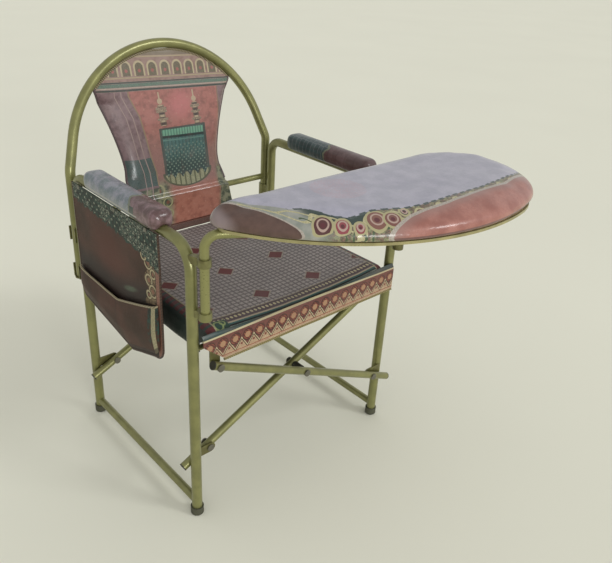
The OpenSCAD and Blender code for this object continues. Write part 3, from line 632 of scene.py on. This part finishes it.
def apronCloth():
    paint = clothPaint("apron cloth", 0.38, 0.3, 900, 0.0005)
    x, y, z = paint.place()
    a = x.cell(27, 6)
    flower = a.squared() * 1.1 + (z - 378).squared()
    petals = paint.mix((x + z).cell(7) > 2.2, (85, 22, 18), (210, 58, 36))
    petals = paint.mix(flower < 38, petals, (340, 200, 110))
    tooth = z - a * 1.5  # a saw-tooth row
    inside = (tooth > 356) & (z < 395)
    field = paint.layers(
        paint.threads((240, 145, 85), (500, 390, 250)),
        (inside, paint.mix(paint.fine > 0.5, (90, 35, 30), (160, 50, 40))),
        (flower < 132, petals),
        (tooth.near(356, 1.4) & (z < 395), cream),
        (tooth.near(353, 1.5) & (z < 395), (45, 18, 14)),
        (disc(a, z, 13.5, 364, 2.6), (160, 45, 30)),
        (flower.near(132, 26) & inside, (50, 20, 16)),
        (z.near(353.5, 0.9), (260, 80, 50)),
        (z > 394, paint.mix(z > 397, cream, (20, 50, 45))),
    )
    return paint.coloured(paint.mix(paint.broad.soft(0.3, 0.8) * 0.3, field, (200, 90, 60)))


def pipingCloth():
    paint = clothPaint("piping cloth", 0.36, 0.3, 700, 0.0004)
    x, y, z = paint.place()
    twist = ((x + y * 2) * 1.4).sin() * 0.5 + 0.5
    return paint.coloured(paint.mix(twist, (100, 85, 30), (270, 225, 80)))


def liningCloth(name, base):
    paint = clothPaint(name, 0.6, 0.05, 800, 0.0005)
    return paint.coloured(paint.threads(scaled(base, 0.6), base))


seatLining = liningCloth("seat lining", (45, 45, 42))
seat = makeSeat()
apron, piping = makeApron()
dress(seat, seatCloth(), seatLining)
dress(apron, apronCloth(), seatLining)
dress(piping, pipingCloth())
print("seat ready", seat.dimensions[:])


# Back: a sling from the cross bar up into the arch, its side edges turned back

backSize = {
    "hoopY": 225.0,
    "bendZ": 573.0,
    "lean": 15.0,
    "archR": 238.3,
    "archMiddle": -10.9,
    "inside": 12.6,
    "barZ": 474.0,
    "barR": 7.0,
    "waistW": 116.0,
    "waistZ": 545.0,
    "lowW": 149.0,
    "lowZ": 402.0,
    "highW": 160.0,
    "sideZ": 706.0,
    "thick": 3.4,
    "skirtLow": 394.0,
    "skirtY": 214.2,
    "skirtThick": 2.4,
}
backSlope = math.tan(math.radians(backSize["lean"]))
backCos = math.cos(math.radians(backSize["lean"]))
backTop = (backSize["archMiddle"] + backSize["archR"] - backSize["inside"]) * backCos + backSize["bendZ"]


def backHalf(z):  # half width: waisted sides, then the inside of the arch
    s = backSize
    if z < s["waistZ"]:
        down = (s["waistZ"] - z) / (s["waistZ"] - s["lowZ"])
        return s["waistW"] + (s["lowW"] - s["waistW"]) * down ** 1.4
    up = (z - s["bendZ"]) / backCos - s["archMiddle"]
    arch = math.sqrt(max(0.0, (s["archR"] - s["inside"]) ** 2 - up * up))
    rise = (z - s["waistZ"]) / (s["sideZ"] - s["waistZ"])
    return min(s["waistW"] + (s["highW"] - s["waistW"]) * rise ** 1.5, arch)


def backY(z):  # straight from the bar to the corners, then in the arch's plane
    s = backSize
    if z > s["sideZ"]:
        return s["hoopY"] + (z - s["bendZ"]) * backSlope
    corner = (s["sideZ"] - s["bendZ"]) * backSlope
    return s["hoopY"] + corner * (z - s["barZ"]) / (s["sideZ"] - s["barZ"])


def backPlace(u, v):
    s = backSize
    side = 2 * u - 1
    wrap = 0.07
    if v < wrap:  # round the bar: under it, up its back and over
        turn = math.radians(-100 + 260 * (1 - v / wrap)) + 0.2
        r = s["barR"] + 2.6
        y, z = s["hoopY"] - r * math.cos(turn), s["barZ"] - r * math.sin(turn)
        return spot(side * backHalf(s["barZ"]), y, z)
    t = (v - wrap) / (1 - wrap)
    low = s["barZ"] + 9
    z = low + (backTop - 1.0 - low) * (1 - (1 - t) ** 1.35)
    half = max(backHalf(z), 9.0)
    x = side * half
    y = backY(z) - 3.2 * max(0.0, 1 - abs((z - 486) / 40))
    up = clamp((z - 500) / 180)
    roll, deep = (26 + 30 * up, 9 + 8 * up) if side < 0 else (22, 9)
    turned = clamp(1 - half * (1 - abs(side)) / roll) * clamp((736 - z) / 50) * clamp((z - 484) / 40)
    y += deep * turned ** 2
    pull = min(1.0, t * 6, (1 - t) * 6) * (1 - clamp(turned * 3))  # the turned edges are taut
    y += (2.2 * ripple(x, z, 90, 4.4) + 0.7 * ripple(x, z * 0.35, 26, 8.8)) * pull
    return spot(x, y, z)


def skirtPlace(u, v):  # hangs from the front of the bar
    s = backSize
    z = s["skirtLow"] + (s["barZ"] + 6 - s["skirtLow"]) * v
    x = (2 * u - 1) * backHalf(z)
    y = s["skirtY"] - 2.6 * v ** 2 + 0.8 * ripple(x, z * 0.5, 34, 2.9) * (1 - v)
    return spot(x, y, z)


def backEdge(u):  # from the bar up
    return [backPlace(u, 0.09 + 0.91 * i / 60) for i in range(61)]


def makeBack():
    sling = makeSheet("backSling", 84, 110, backPlace, backSize["thick"])
    skirt = makeSheet("backSkirt", 60, 20, skirtPlace, backSize["skirtThick"])
    binding = makeBead("backBinding", backEdge(0.0) + backEdge(1.0)[::-1], 2.9)
    return sling, skirt, binding


def backCloth():
    paint = clothPaint("back cloth", 0.28, 1.6, 850, 0.0004)
    x, y, z = paint.place()
    blotch = paint.noise(70, 4.0, 0.65)
    stain = blotch.soft(0.3, 0.7)
    level = z + x * 0.034  # the print hangs a little askew
    field = paint.layers(
        paint.mix(stain, (200, 86, 72), (360, 146, 122)),
        (patch(x, z, 28, 668, 45) * 0.7, (420, 135, 135)),
        ((600 - z).soft(-45, 60) * 0.7, (140, 80, 68), (250, 135, 115)),
        ((492 - z).soft(-12, 12), paint.mix(stain, (220, 80, 55), (350, 140, 95))),
        ((lozenge(x, z, 31) < 3.2) * paint.grain * 0.6, (400, 240, 170)),
    )
    # two striped pillars with a knob and a spike, each a little askew
    for middle, foot, head, wide in ((-20, 628, 672, 13), (65, 620, 670, 12)):
        off = x - middle + (z - 650) * 0.08
        lean = abs(off)
        shaft = (lean < wide * 0.62) & between(z, foot, head)
        stone = paint.mix(z.cell(11) > 3.0, (55, 40, 36), (340, 270, 180))
        ledge = (lean < wide) & (z.near(head - 8, 3) | z.near(foot + 14, 2.4) | z.near(foot + 30, 2))
        knob = disc(off, z, 0, head + 7, 6) | ((lean < 1.7) & between(z, head + 8, head + 26))
        field = paint.layers(
            field,
            (shaft, paint.mix((lean > wide * 0.35) * 0.6, stone, (130, 85, 60))),
            (ledge, (70, 45, 35), (360, 290, 200)),
            (knob, (360, 280, 190)),
        )
    # a teal panel in a dark frame between them, its lower edge jagged over a scalloped bowl
    lean = abs(x - 28 + (z - 570) * 0.02)
    tooth = (x - 4).cell(20)
    bowl = (x - 28).squared() / 3700 + (z - 524).squared() / 960
    lip = paint.threads((130, 145, 75), (330, 320, 200))
    lip = paint.mix(x.cell(13) < 2.0, lip, (90, 95, 50))
    field = paint.layers(
        field,
        ((bowl < 1.0) & (z < 526), lip),
        (bowl.near(1.0, 0.1) & (z < 526), (60, 65, 35)),
        ((lean < 59) & between(z, 522, 623), (50, 60, 52)),
    )
    silk = paint.layers(
        paint.threads((22, 75, 70), (80, 165, 155)),
        ((x.cell(9) < 1.3) * 0.6, (20, 50, 47)),
        ((560 - z).soft(-22, 28) * 0.85, (16, 34, 32)),
        ((z < 585) & (lozenge(x, z, 11) < 3.2), (130, 190, 150)),
        (between(level, 606, 620), paint.mix(x.cell(7) > 1.2, (60, 160, 110), (130, 290, 200))),
        (level.near(603, 2.6), (10, 26, 24)),
        (level.near(596, 1.4), (90, 190, 160)),
    )
    field = paint.mix((lean < 53) & (z < 619) & (z - 512 > tooth * 1.5), field, silk)
    # scrolls at the foot, on the left of the bowl and a few on the right
    foot = (508 - z).soft(-16, 10)
    leftFoot = foot * (1 - (x + 22).soft(-14, 10))
    rightFoot = (520 - z).soft(-22, 12) * (x - 104).soft(-8, 8)
    leafy = paint.mix(blotch.soft(0.4, 0.6), (45, 55, 34), (200, 205, 125))
    field = paint.mix(leftFoot | rightFoot, field, leafy)
    curls = (
        (-52, 492, 13), (-38, 468, 11), (-60, 452, 10), (-34, 440, 9), (-66, 474, 8), (-50, 424, 9),
        (116, 494, 8), (124, 470, 9), (114, 446, 7), (-84, 440, 9), (-92, 466, 8),
    )
    field = strew(paint, field, x, z, curls, ((270, 260, 140), 1, 1.7), ((140, 60, 35), 0.4))
    # the side bands
    left = x - through(z, (
        (400, -64), (500, -50), (535, -51), (568, -59), (613, -66), (653, -74), (696, -93),
    ))
    band = paint.layers(
        paint.mix(stain, (120, 75, 78), (215, 145, 150)),
        (between(z, 505, 566), (26, 48, 45), (65, 100, 92)),
        (z < 500, leafy),
        (left.near(-16, 1.2) | left.near(-30, 0.9), (260, 190, 170)),
    )
    field = paint.layers(
        field,
        (left < 0, band),
        (left.near(0, 1.6) & (z > 505), (220, 155, 95)),
        ((x > 127) | ((x > 106) & (z < 520)), paint.mix(z < 520, band, leafy)),
        (x.near(127, 1.4) & (z > 600), (200, 130, 90)),
    )
    # the arcade under the arch, over a double stripe
    a = x.cell(30, -13)
    arch = farSquared(a, level, 0, 748).root()
    crown, straight = level > 747, between(level, 731, 748)
    top = paint.layers(
        paint.mix(stain, (175, 106, 84), (275, 188, 155)),
        (((arch < 9.5) & crown) | ((a < 9.5) & straight), (70, 55, 34), (150, 130, 80)),
        ((arch.near(10.6, 2.0) & crown) | (a.near(10.6, 1.8) & straight), (360, 300, 190)),
        (disc(a, level, 0, 741, 3.4), (260, 90, 75)),
        (level.near(728, 1.3) | level.near(768, 1.4), (300, 240, 150)),
        (level > 770, (100, 85, 55), (210, 160, 110)),
    )
    stripes = paint.layers(
        paint.threads((160, 115, 100), (270, 200, 180)),
        (level.near(714, 3.4), (50, 90, 68), (130, 185, 140)),
        (level.near(719.3, 1.3) | level.near(704.6, 1.8), (35, 45, 38)),
        (level.near(709, 0.9), (340, 270, 220)),
    )
    field = paint.layers(
        field,
        (level > 702, paint.mix(level > 721, stripes, top)),
        # painted shade: a dark line and darker cloth below it, where the cloth hangs over the rear of
        # the seat
        (z.near(411, 1.6), (60, 18, 12)),
        (z < 409, (60, 35, 28), (130, 75, 60)),
    )
    paint.bump(paint.fine * 0.4 + woven(paint, x, z, 1.8) * 0.4 + paint.broad * 0.2, 0.0005)
    return paint.coloured(paint.mix(blotch.soft(0.45, 0.75) * 0.3, field, (130, 75, 65)))


def bindingCloth():
    paint = clothPaint("binding cloth", 0.35, 0.4, 700, 0.0004)
    x, y, z = paint.place()
    side = paint.threads((50, 34, 36), (115, 75, 78))
    cord = paint.mix((x + z).cell(6) > 1.4, (70, 55, 30), (220, 180, 100))
    return paint.coloured(paint.mix(z > 716, side, cord))


backLining = liningCloth("back lining", (130, 45, 40))
sling, skirt, backBead = makeBack()
backPrint = backCloth()
for piece in (sling, skirt):
    dress(piece, backPrint, backLining)
dress(backBead, bindingCloth())
print("back ready", sling.dimensions[:], skirt.dimensions[:])


# Bag on the left arm: a panel with a printed border and a pocket that bulges

bagSize = {
    "x": -262.3,
    "front": -128.0,
    "rear": 184.0,
    "low": 300.0,
    "top": 567.0,
    "inset": 6.0,
    "mouth": 392.0,
    "rise": 40.0,
    "bulge": 10.5,
    "panel": 2.2,
    "pocket": 2.0,
}


def bagLow(y, inset=0.0):  # the bag's lower edge
    front, rear, low = bagSize["front"] + inset, bagSize["rear"] - inset, bagSize["low"] + inset
    if y < front + 26:
        return low + 44 - math.sqrt(max(0.0, 26 ** 2 - (front + 26 - y) ** 2))
    if y < -15:
        return low + 18 + (y - front - 26) / (-15 - front - 26) * -30
    if y < rear - 18:
        return low - 12 + (y + 15) / (rear - 3) * 34
    return low + 40 - math.sqrt(max(0.0, 18 ** 2 - (y - rear + 18) ** 2))


def bagMouth(y):
    return bagSize["mouth"] + bagSize["rise"] * clamp((15 - y) / (15 - bagSize["front"] - 6))


def spread(u):  # finer steps toward both ends
    return 0.5 - 0.5 * math.cos(math.pi * u)


def panelPlace(u, v):
    s = bagSize
    y = s["rear"] + (s["front"] - s["rear"]) * spread(u)
    low = bagLow(y)
    z = low + (s["top"] - low) * v
    x = s["x"] + 0.5 + 1.0 * ripple(y, z, 80, 6.1) * min(1, (1 - v) * 4)
    return spot(x, y, z)


def pocketPlace(u, v):
    s = bagSize
    i = s["inset"] + 1
    y = s["rear"] - i + (s["front"] - s["rear"] + 2 * i) * spread(u)
    low = bagLow(y, i)
    high = bagMouth(y)
    z = low + (high - low) * v
    ends = 1 - abs(2 * u - 1) ** 2.2
    full = clamp(v * 2.4) ** 0.55 * (0.62 + 0.38 * math.sin(math.pi * min(1.0, v * 1.05)))
    out = 2.6 + s["bulge"] * max(0.0, ends) ** 0.6 * full
    out += 1.2 * ripple(y, z, 60, 9.3) * full
    z -= 5.0 * ends * v ** 3  # the mouth droops between its ends
    return spot(s["x"] - min(out, 12.6), y, z)


def makeBag():
    panel = makeSheet("bagPanel", 72, 60, panelPlace, bagSize["panel"])
    pocket = makeSheet("bagPocket", 72, 34, pocketPlace, bagSize["pocket"])
    mouth = makeBead("pocketMouthBinding", [pocketPlace(i / 72, 1) for i in range(73)], 2.1)
    front = [panelPlace(1, i / 40) for i in range(40, 0, -1)]
    under = [panelPlace(1 - i / 90, 0) for i in range(91)]
    rear = [panelPlace(0, i / 40) for i in range(1, 41)]
    edge = makeBead("bagEdgeBinding", front + under + rear, 2.0)
    return panel, pocket, mouth, edge


def bagVinyl(name, pocketed):
    paint = clothPaint(name, 0.5, 0.1, 520, 0.0007)
    x, y, z = paint.place()
    lace = paint.noise(150, 3.0, 0.6)
    body = paint.layers(
        paint.mix(paint.broad.soft(0.3, 0.7), (40, 18, 9), (78, 29, 17)),
        (paint.grain * 0.45, (26, 12, 7)),
        (patch(y, z, 50, 470, 90) * 0.7, (88, 27, 17)),
    )
    black = paint.mix(lace.soft(0.42, 0.58), (10, 14, 10), (20, 46, 34))
    if pocketed:
        low = z - through(y, ((-118, 332), (-102, 318), (-15, 288), (166, 322), (180, 345)))
        field = paint.layers(
            body,
            ((y - 20).near(0, 0.9) & (z < 388), (30, 14, 10)),
            ((y < -96) & (lace + z * 0.004 > 2.02), black),
            (between(y, -118, -107) & (z > 322), (190, 170, 95), (380, 340, 210)),
            ((low < 15) * 0.7, (20, 12, 9)),
        )
    else:
        # painted shade above the pocket, with a painted pale green highlight
        mouth = z - through(y, ((-122, 432), (15, 392)))
        paintedHighlight = patch(y, (mouth - 20) * 4, -22, 0, 34)
        stem = (y + 84 + (z * 0.13).sin() * 7 < 0) & (mouth > 0)
        field = paint.layers(
            body,
            ((1 - mouth.soft(12, 62)) * 0.75, (14, 12, 11)),
            (paintedHighlight * 0.7, (15, 45, 22), (170, 200, 140)),
            (stem, paint.mix(lace.soft(0.4, 0.6), (55, 32, 18), (200, 145, 80))),
        )
        # curls along the stem at the front, brown, gold and cream
        curls = (
            (-100, 522, 9), (-92, 503, 11), (-106, 486, 8), (-92, 470, 10), (-104, 452, 11),
            (-90, 441, 7), (-78, 512, 8),
        )
        bands = ((50, 28, 14), 1, 3.0), ((360, 310, 190), 1, 1.7), ((200, 95, 60), 0.4)
        field = strew(paint, field, y, z, curls, *bands)
        # a seam at the front, and a dark lacy band under the arm rest
        band = z - through(y, ((-122, 496), (-70, 512), (40, 524), (180, 537))) + lace * 26 - 13
        dots = disc((y + z).cell(19), (y - z).cell(19), 9.5, 9.5, 2.9)
        dots = dots | (lace.near(0.5, 0.016) & (paint.broad > 0.45))
        field = paint.layers(
            field,
            (y < -114, (140, 60, 40), (290, 155, 110)),
            (y.near(-114, 0.9), (30, 18, 12)),
            (band > 0, black),
            ((band > 3) & dots, (130, 150, 105), (360, 370, 290)),
        )
    return paint.coloured(field)


def bagBinding(name, light, dark):
    paint = clothPaint(name, 0.38, 0.3, 650, 0.0004)
    x, y, z = paint.place()
    return paint.coloured(paint.mix(((y + z) * 1.1).sin() * 0.5 + 0.5, dark, light))


bagLining = liningCloth("bag lining", (50, 35, 30))
bagPanel, bagPocket, bagMouthBead, bagEdgeBead = makeBag()
dress(bagPanel, bagVinyl("bag panel vinyl", False), bagLining)
dress(bagPocket, bagVinyl("bag pocket vinyl", True), bagLining)
dress(bagMouthBead, bagBinding("mouth binding", (330, 290, 180), (170, 130, 75)))
dress(bagEdgeBead, bagBinding("edge binding", (75, 42, 26), (28, 16, 12)))
print("bag ready", bagPanel.dimensions[:], bagPocket.dimensions[:])


# Arm pads: stuffed covers laced over the arm tubes

armSize = {
    "x": 247.0,
    "front": -127.5,
    "rear": 129.5,
    "wide": 44.0,
    "low": 569.0,
    "tall": 36.5,
    "tubeZ": 570.0,
    "grooveR": 10.2,
    "corner": 12.5,
    "end": 20.0,  # length of the drawn-in end
    "cap": 0.0022,
}


def makeArmPad(name, side):
    s = armSize
    long = s["rear"] - s["front"]
    middle = spot(side * s["x"], (s["rear"] + s["front"]) / 2, s["low"] + s["tall"] / 2)
    bpy.ops.mesh.primitive_cube_add(size=1)
    pad = bpy.context.object
    pad.name = name
    size = Matrix.Diagonal((s["wide"] / 1000, long / 1000, s["tall"] / 1000, 1))
    pad.data.transform(Matrix.Translation(middle) @ size)
    modify(pad, "corner", "BEVEL", width=s["corner"] / 1000, segments=5)
    applyAll(pad)
    # a groove below for the arm tube
    seatOnTube = spot(side * s["x"], (s["rear"] + s["front"]) / 2, s["tubeZ"])
    bpy.ops.mesh.primitive_cylinder_add(
        vertices=48, radius=s["grooveR"] / 1000, depth=0.4, location=seatOnTube,
    )
    groove = bpy.context.object
    groove.rotation_euler.x = math.pi / 2
    modify(pad, "cut", "BOOLEAN", operation="DIFFERENCE", object=groove)
    applyAll(pad)
    bpy.data.objects.remove(groove)
    grip = (s["grooveR"] + 4) / 1000

    def isHeld(co):  # the underside and the groove
        return co.z < (s["low"] + 2.5) / 1000 or math.hypot(co.x - middle.x, co.z - seatOnTube.z) < grip

    inflate(pad, 0.004, 4.0, s["cap"], 3, isHeld)
    for vertex in pad.data.vertices:  # blunt round ends, drawn in
        y = vertex.co.y * 1000 - home[1]
        end = max(0.0, 1 - min(y - s["front"], s["rear"] - y) / s["end"])
        vertex.co.x += (middle.x - vertex.co.x) * 0.16 * end ** 2
        vertex.co.z += (middle.z - 0.003 - vertex.co.z) * 0.12 * end ** 2
    return pad


def armVinyl(name, change, dark, light, tip, piped):
    paint = clothPaint(name, 0.3, 0.8, 420, 0.0006)
    x, y, z = paint.place()
    patches = paint.noise(48, 3.0, 0.6)
    rear = paint.mix(patches.soft(0.36, 0.64), dark, light)
    rear = paint.mix(lozenge(x, y, 24).near(13, 2.0) * 0.3, rear, (270, 280, 290))
    front = paint.mix(patches.soft(0.4, 0.66), *tip)
    front = paint.mix((y.cell(26) < 2.0) * 0.35, front, (60, 22, 22))
    wave = y + (x * 0.25).sin() * 5 + patches * 16 - 8
    field = paint.mix(wave < change, rear, front)
    field = paint.mix(wave.near(change, 2.6), field, (150, 165, 110))
    if piped:  # a dark green notch, and pale piping low on the outer side
        notch = (wave - change + 7).near(0, 6) & (z < 595) & (x < -250)
        field = paint.layers(
            field,
            (notch, (30, 50, 40)),
            (z.near(581, 1.7) & (y > change - 28) & (x < -250), (340, 340, 300)),
        )
    return paint.coloured(paint.mix(paint.grain * 0.22, field, (60, 55, 55)))


leftPad = makeArmPad("leftArmPad", -1)
rightPad = makeArmPad("rightArmPad", 1)
# the left pad is the same vinyl as the right, painted lighter: a painted highlight, blue-grey over its
# rear teal and pinker over its front mauve
dress(leftPad, armVinyl(
    "left arm vinyl with painted highlight", -46, (130, 170, 185), (270, 275, 325),
    ((95, 50, 48), (225, 140, 150)), True,
))
dress(rightPad, armVinyl(
    "right arm vinyl", -4, (22, 50, 52), (48, 85, 86),
    ((95, 48, 47), (140, 78, 78)), False,
))
print("arm pads ready", leftPad.dimensions[:])


# Table pad: a stuffed cover over the board, with two round ends, a long front curve and a straight rear

tableSize = {
    "tip": (-207.0, -245.0, 30.0),  # x, y and radius of the round end beside the post
    "end": (247.0, -345.0, 131.0),  # and of the wide end
    "frontR": 430.0,
    "low": 613.6,
    "rim": 13.0,  # height at which the cover bulges furthest
    "tall": 37.0,
    "slopes": (32.0, 64.0),  # the rim rises to the flat top over this, at the rear and the front
    "inset": 2.5,
    "cap": 0.0025,
}


def frontMiddle():  # centre of the front curve, which touches both ends from outside
    s = tableSize
    tip, end = Vector(s["tip"][:2]), Vector(s["end"][:2])
    a, b, gap = s["frontR"] - s["tip"][2], s["frontR"] - s["end"][2], (end - tip).length
    along = (a * a - b * b + gap * gap) / (2 * gap)
    ahead = (end - tip) / gap
    return tip + ahead * along + Vector((-ahead.y, ahead.x)) * math.sqrt(a * a - along * along)


def arcPoints(middle, radius, first, last, steps):
    turns = [first + (last - first) * k / steps for k in range(steps + 1)]
    return [(middle[0] + radius * math.cos(a), middle[1] + radius * math.sin(a)) for a in turns]


def tableOutline(inset):
    s = tableSize
    tip, end, middle = s["tip"], s["end"], frontMiddle()
    dx, dy = tip[0] - end[0], tip[1] - end[1]
    rear = math.atan2(dy, dx) - math.acos((end[2] - tip[2]) / math.hypot(dx, dy))
    a = math.atan2(tip[1] - middle.y, tip[0] - middle.x) + 2 * math.pi
    b = math.atan2(end[1] - middle.y, end[0] - middle.x) + 2 * math.pi
    points = arcPoints(tip, tip[2] - inset, rear, a, 28)
    points += arcPoints(middle, s["frontR"] - inset, a, b, 60)[1:]
    points += arcPoints(end, end[2] - inset, b, rear + 2 * math.pi, 48)[1:]
    (x0, y0), (x1, y1) = points[-1], points[0]
    return points + [(x0 + (x1 - x0) * k / 60, y0 + (y1 - y0) * k / 60) for k in range(1, 60)]


def makeTablePad():
    s = tableSize
    outline = tableOutline(s["inset"])
    bpy.ops.mesh.primitive_circle_add(vertices=len(outline), fill_type="NGON")
    pad = bpy.context.object
    pad.name = "tablePad"
    for vertex, (x, y) in zip(pad.data.vertices, outline):
        vertex.co = spot(x, y, s["low"])
    bpy.ops.object.mode_set(mode="EDIT")
    bpy.ops.mesh.select_all(action="SELECT")
    bpy.ops.mesh.extrude_region_move(TRANSFORM_OT_translate={"value": (0, 0, s["tall"] / 1000)})
    bpy.ops.mesh.select_all(action="SELECT")
    bpy.ops.mesh.normals_make_consistent(inside=False)
    bpy.ops.object.mode_set(mode="OBJECT")
    remesh(pad, 0.005)
    # the top falls away to the rim, and the rim stands out furthest a little above the board
    rimPoints = [spot(x, y, 0) for x, y in outline]
    near = kdtree.KDTree(len(rimPoints))
    for i, point in enumerate(rimPoints):
        near.insert(point, i)
    near.balance()
    for vertex in pad.data.vertices:
        flat = Vector((vertex.co.x, vertex.co.y, 0))
        _, i, far = near.find(flat)
        along = rimPoints[(i + 1) % len(rimPoints)] - rimPoints[i - 1]
        out = Vector((along.y, -along.x, 0)).normalized()
        share = clamp((vertex.co.z * 1000 - s["low"]) / s["tall"])
        slope = s["slopes"][0] + (s["slopes"][1] - s["slopes"][0]) * clamp((0.3 - out.y) / 0.9)
        rise = math.sqrt(1 - (1 - clamp(far * 1000 / slope)) ** 2)
        vertex.co.z = (s["low"] + share * (s["rim"] + (s["tall"] - s["rim"]) * rise)) / 1000
        vertex.co += out * 0.0035 * math.sin(math.pi * share) * clamp(1 - far * 1000 / 20)
    inflate(pad, 0.005, 4.0, s["cap"], 14, lambda co: co.z < (s["low"] + 3.5) / 1000)
    return pad


def tableVinyl():
    paint = clothPaint("table vinyl", 0.3, 0.9, 480, 0.0004)
    x, y, z = paint.place()
    patches = paint.noise(34, 3.0, 0.55)
    stain = patches.soft(0.3, 0.7)
    silk = paint.layers(
        paint.mix(patches.soft(0.35, 0.68), (330, 330, 400), (400, 392, 470)),
        (paint.grain * 0.2, (260, 255, 310)),
        (disc(x, y, -30, -300, 46) * paint.grain * 0.5, (460, 300, 340)),
        (lozenge(x, y, 18).near(9, 0.9) * 0.14, (460, 440, 470)),
    )
    # the plain field ends at one line and the red rim begins at another, with scrolls between them
    inner = y - through(x, (
        (-205, -236), (-150, -318), (-130, -333), (-105, -374), (-88, -388), (-50, -394),
        (0, -416), (35, -424), (190, -428), (300, -417), (372, -392),
    )) + (patches * 8 - 4) * 0.3
    outer = y - through(x, (
        (-215, -232), (-200, -252), (-186, -286), (-168, -330), (-150, -378), (-120, -425),
        (-60, -440), (-5, -433), (80, -438), (240, -436), (372, -408),
    ))
    lace = paint.noise(120, 3.0, 0.6)
    ground = paint.layers(
        paint.threads((115, 125, 65), (300, 290, 170)),
        (lace.soft(0.46, 0.54), (60, 70, 45), (220, 130, 95)),
    )
    shade = (inner + 19).soft(-9, 6) * (x + 138).soft(-10, 10) * (1 - (x + 45).soft(-12, 12))
    swirl = ((x * 0.17 + y * 0.05).sin() * 8 + inner + 24).near(0, 2.6)
    swirl = swirl | ((x * 0.15 + 2.2).sin() * 7 + inner + 14).near(0, 2.0)
    leaf = ((x * 0.23 + 1.0).sin() * 7 + inner + 30).near(0, 1.8)
    scroll = paint.layers(
        paint.mix(stain, (210, 230, 200), (330, 330, 290)),
        ((x + 128).soft(-16, 14), ground),
        (shade, (30, 50, 42)),
        (swirl, (340, 320, 170), (480, 440, 270)),
        (leaf & (x > -150), (55, 85, 40)),
    )
    flowers = (
        (-130, -372, 15, (85, 30, 30)),
        (-108, -391, 12, (240, 55, 65)),
        (-58, -412, 17, (190, 85, 65)),
        (-36, -424, 14, (170, 70, 55)),
        (-9, -422, 8, (45, 40, 35)),
        (-88, -408, 9, (220, 50, 55)),
    )
    down = y - (630 - z).math("MAXIMUM", 0) * 1.2  # on down the side
    for cx, cy, r, petal in flowers:
        scroll = paint.layers(
            scroll,
            (disc(x, down, cx, cy, r), petal),
            (ring(x, down, cx, cy, r, 1.8), (360, 330, 180)),
            (ring(x, down, cx + 1, cy + 1, r * 0.55, 1.3), (400, 290, 240)),
            (disc(x, down, cx, cy, r * 0.25), (100, 25, 30)),
        )
    red = paint.layers(
        paint.mix(stain, (275, 105, 82), (390, 175, 140)),
        (paint.grain * 0.3, (220, 85, 65)),
        ((outer + 12).soft(-9, 9) * 0.6, (260, 165, 145)),
    )
    rim = paint.layers(
        paint.mix(stain, (72, 40, 31), (115, 66, 52)),
        ((x + 120).soft(-25, 15), red),
        ((z < 621) * (x + 60).soft(-30, 30) * 0.8, (110, 55, 50)),
    )
    edge = inner.near(0, 2.4) & (x > -152)
    field = paint.layers(
        scroll,
        (inner > 0, silk),
        (outer < 0, rim),
        (edge * ((x * 0.35).sin() > -0.4), (30, 50, 48), (75, 95, 90)),
        (outer.near(0, 2.6), (300, 270, 220), (420, 370, 330)),
        # painted highlight: pinkish on the nose of the round tip
        ((1 - (x + 222).soft(-8, 8)) * 0.7, (300, 240, 240)),
    )
    return paint.coloured(field)


tablePad = makeTablePad()
dress(tablePad, tableVinyl())
print("table pad ready", tablePad.dimensions[:])


# Riding and replacing

def attach(piece, body, slot, *gone):
    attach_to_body(piece, body)
    if gone:
        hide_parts(*gone)


for piece, slot, gone in (
    (seat, "seat_cloth", "seat_sling"),
    (apron, "apron_cloth", "seat_apron"),
    (piping, "trim_cloth", "seat_piping"),
):
    attach(piece, "left_rail", slot, gone)
    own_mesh(piece)
attach(sling, "back", "back_cloth", "back_sling")
attach(skirt, "back", "back_cloth", "back_skirt")
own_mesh(skirt)
attach(backBead, "back", "back_edge", "back_binding")
attach(bagPanel, "left_frame", "bag_vinyl", "bag_panel")
attach(bagPocket, "left_frame", "bag_vinyl", "bag_pocket")
attach(bagMouthBead, "left_frame", "bag_vinyl")
attach(bagEdgeBead, "left_frame", "bag_vinyl")
attach(leftPad, "left_frame", "arm_cloth", "left_arm_pad")
attach(rightPad, "right_frame", "arm_cloth", "right_arm_pad")
attach(tablePad, "table", "table_cloth", "table_pad")

for piece in (seat, apron, sling, skirt, bagPanel, bagPocket):
    print(piece.name, "flat area", round(flatArea(piece), 4))


# Floor, light and world

def makeFloor():
    bpy.ops.mesh.primitive_plane_add(size=60)
    floor = bpy.context.object
    floor.name = "floor"
    paint = Paint("floor", Roughness=0.9, Specular_IOR_Level=0.1)
    mottle = paint.noise(1.2, 2.0, 0.5)
    dress(floor, paint.coloured(paint.mix(mottle, (800, 800, 685), (840, 840, 720))))


def makeLight(kind, name, energy, place, aim, **sizes):
    bpy.ops.object.light_add(type=kind, location=place)
    lamp = bpy.context.object
    lamp.name = name
    lamp.data.energy = energy
    for key, value in sizes.items():
        setattr(lamp.data, key, value)
    lamp.rotation_euler = (Vector(aim) - Vector(place)).to_track_quat("-Z", "Y").to_euler()
    return lamp


def makeWorld():
    world = bpy.data.worlds.new("soft sky")
    bpy.context.scene.world = world
    world.use_nodes = True
    sky = world.node_tree.nodes["Background"]
    sky.inputs["Color"].default_value = (1.0, 0.99, 0.965, 1)
    sky.inputs["Strength"].default_value = 0.66


makeFloor()
makeWorld()
makeLight("SUN", "key light", 1.25, (-0.66, -2.85, 0.78), (0, 0, 0.4), angle=math.radians(18))
makeLight("SUN", "fill light", 0.75, (1.32, -2.16, 2.0), (0, 0, 0.4), angle=math.radians(15))
bpy.context.scene.view_settings.view_transform = "Standard"
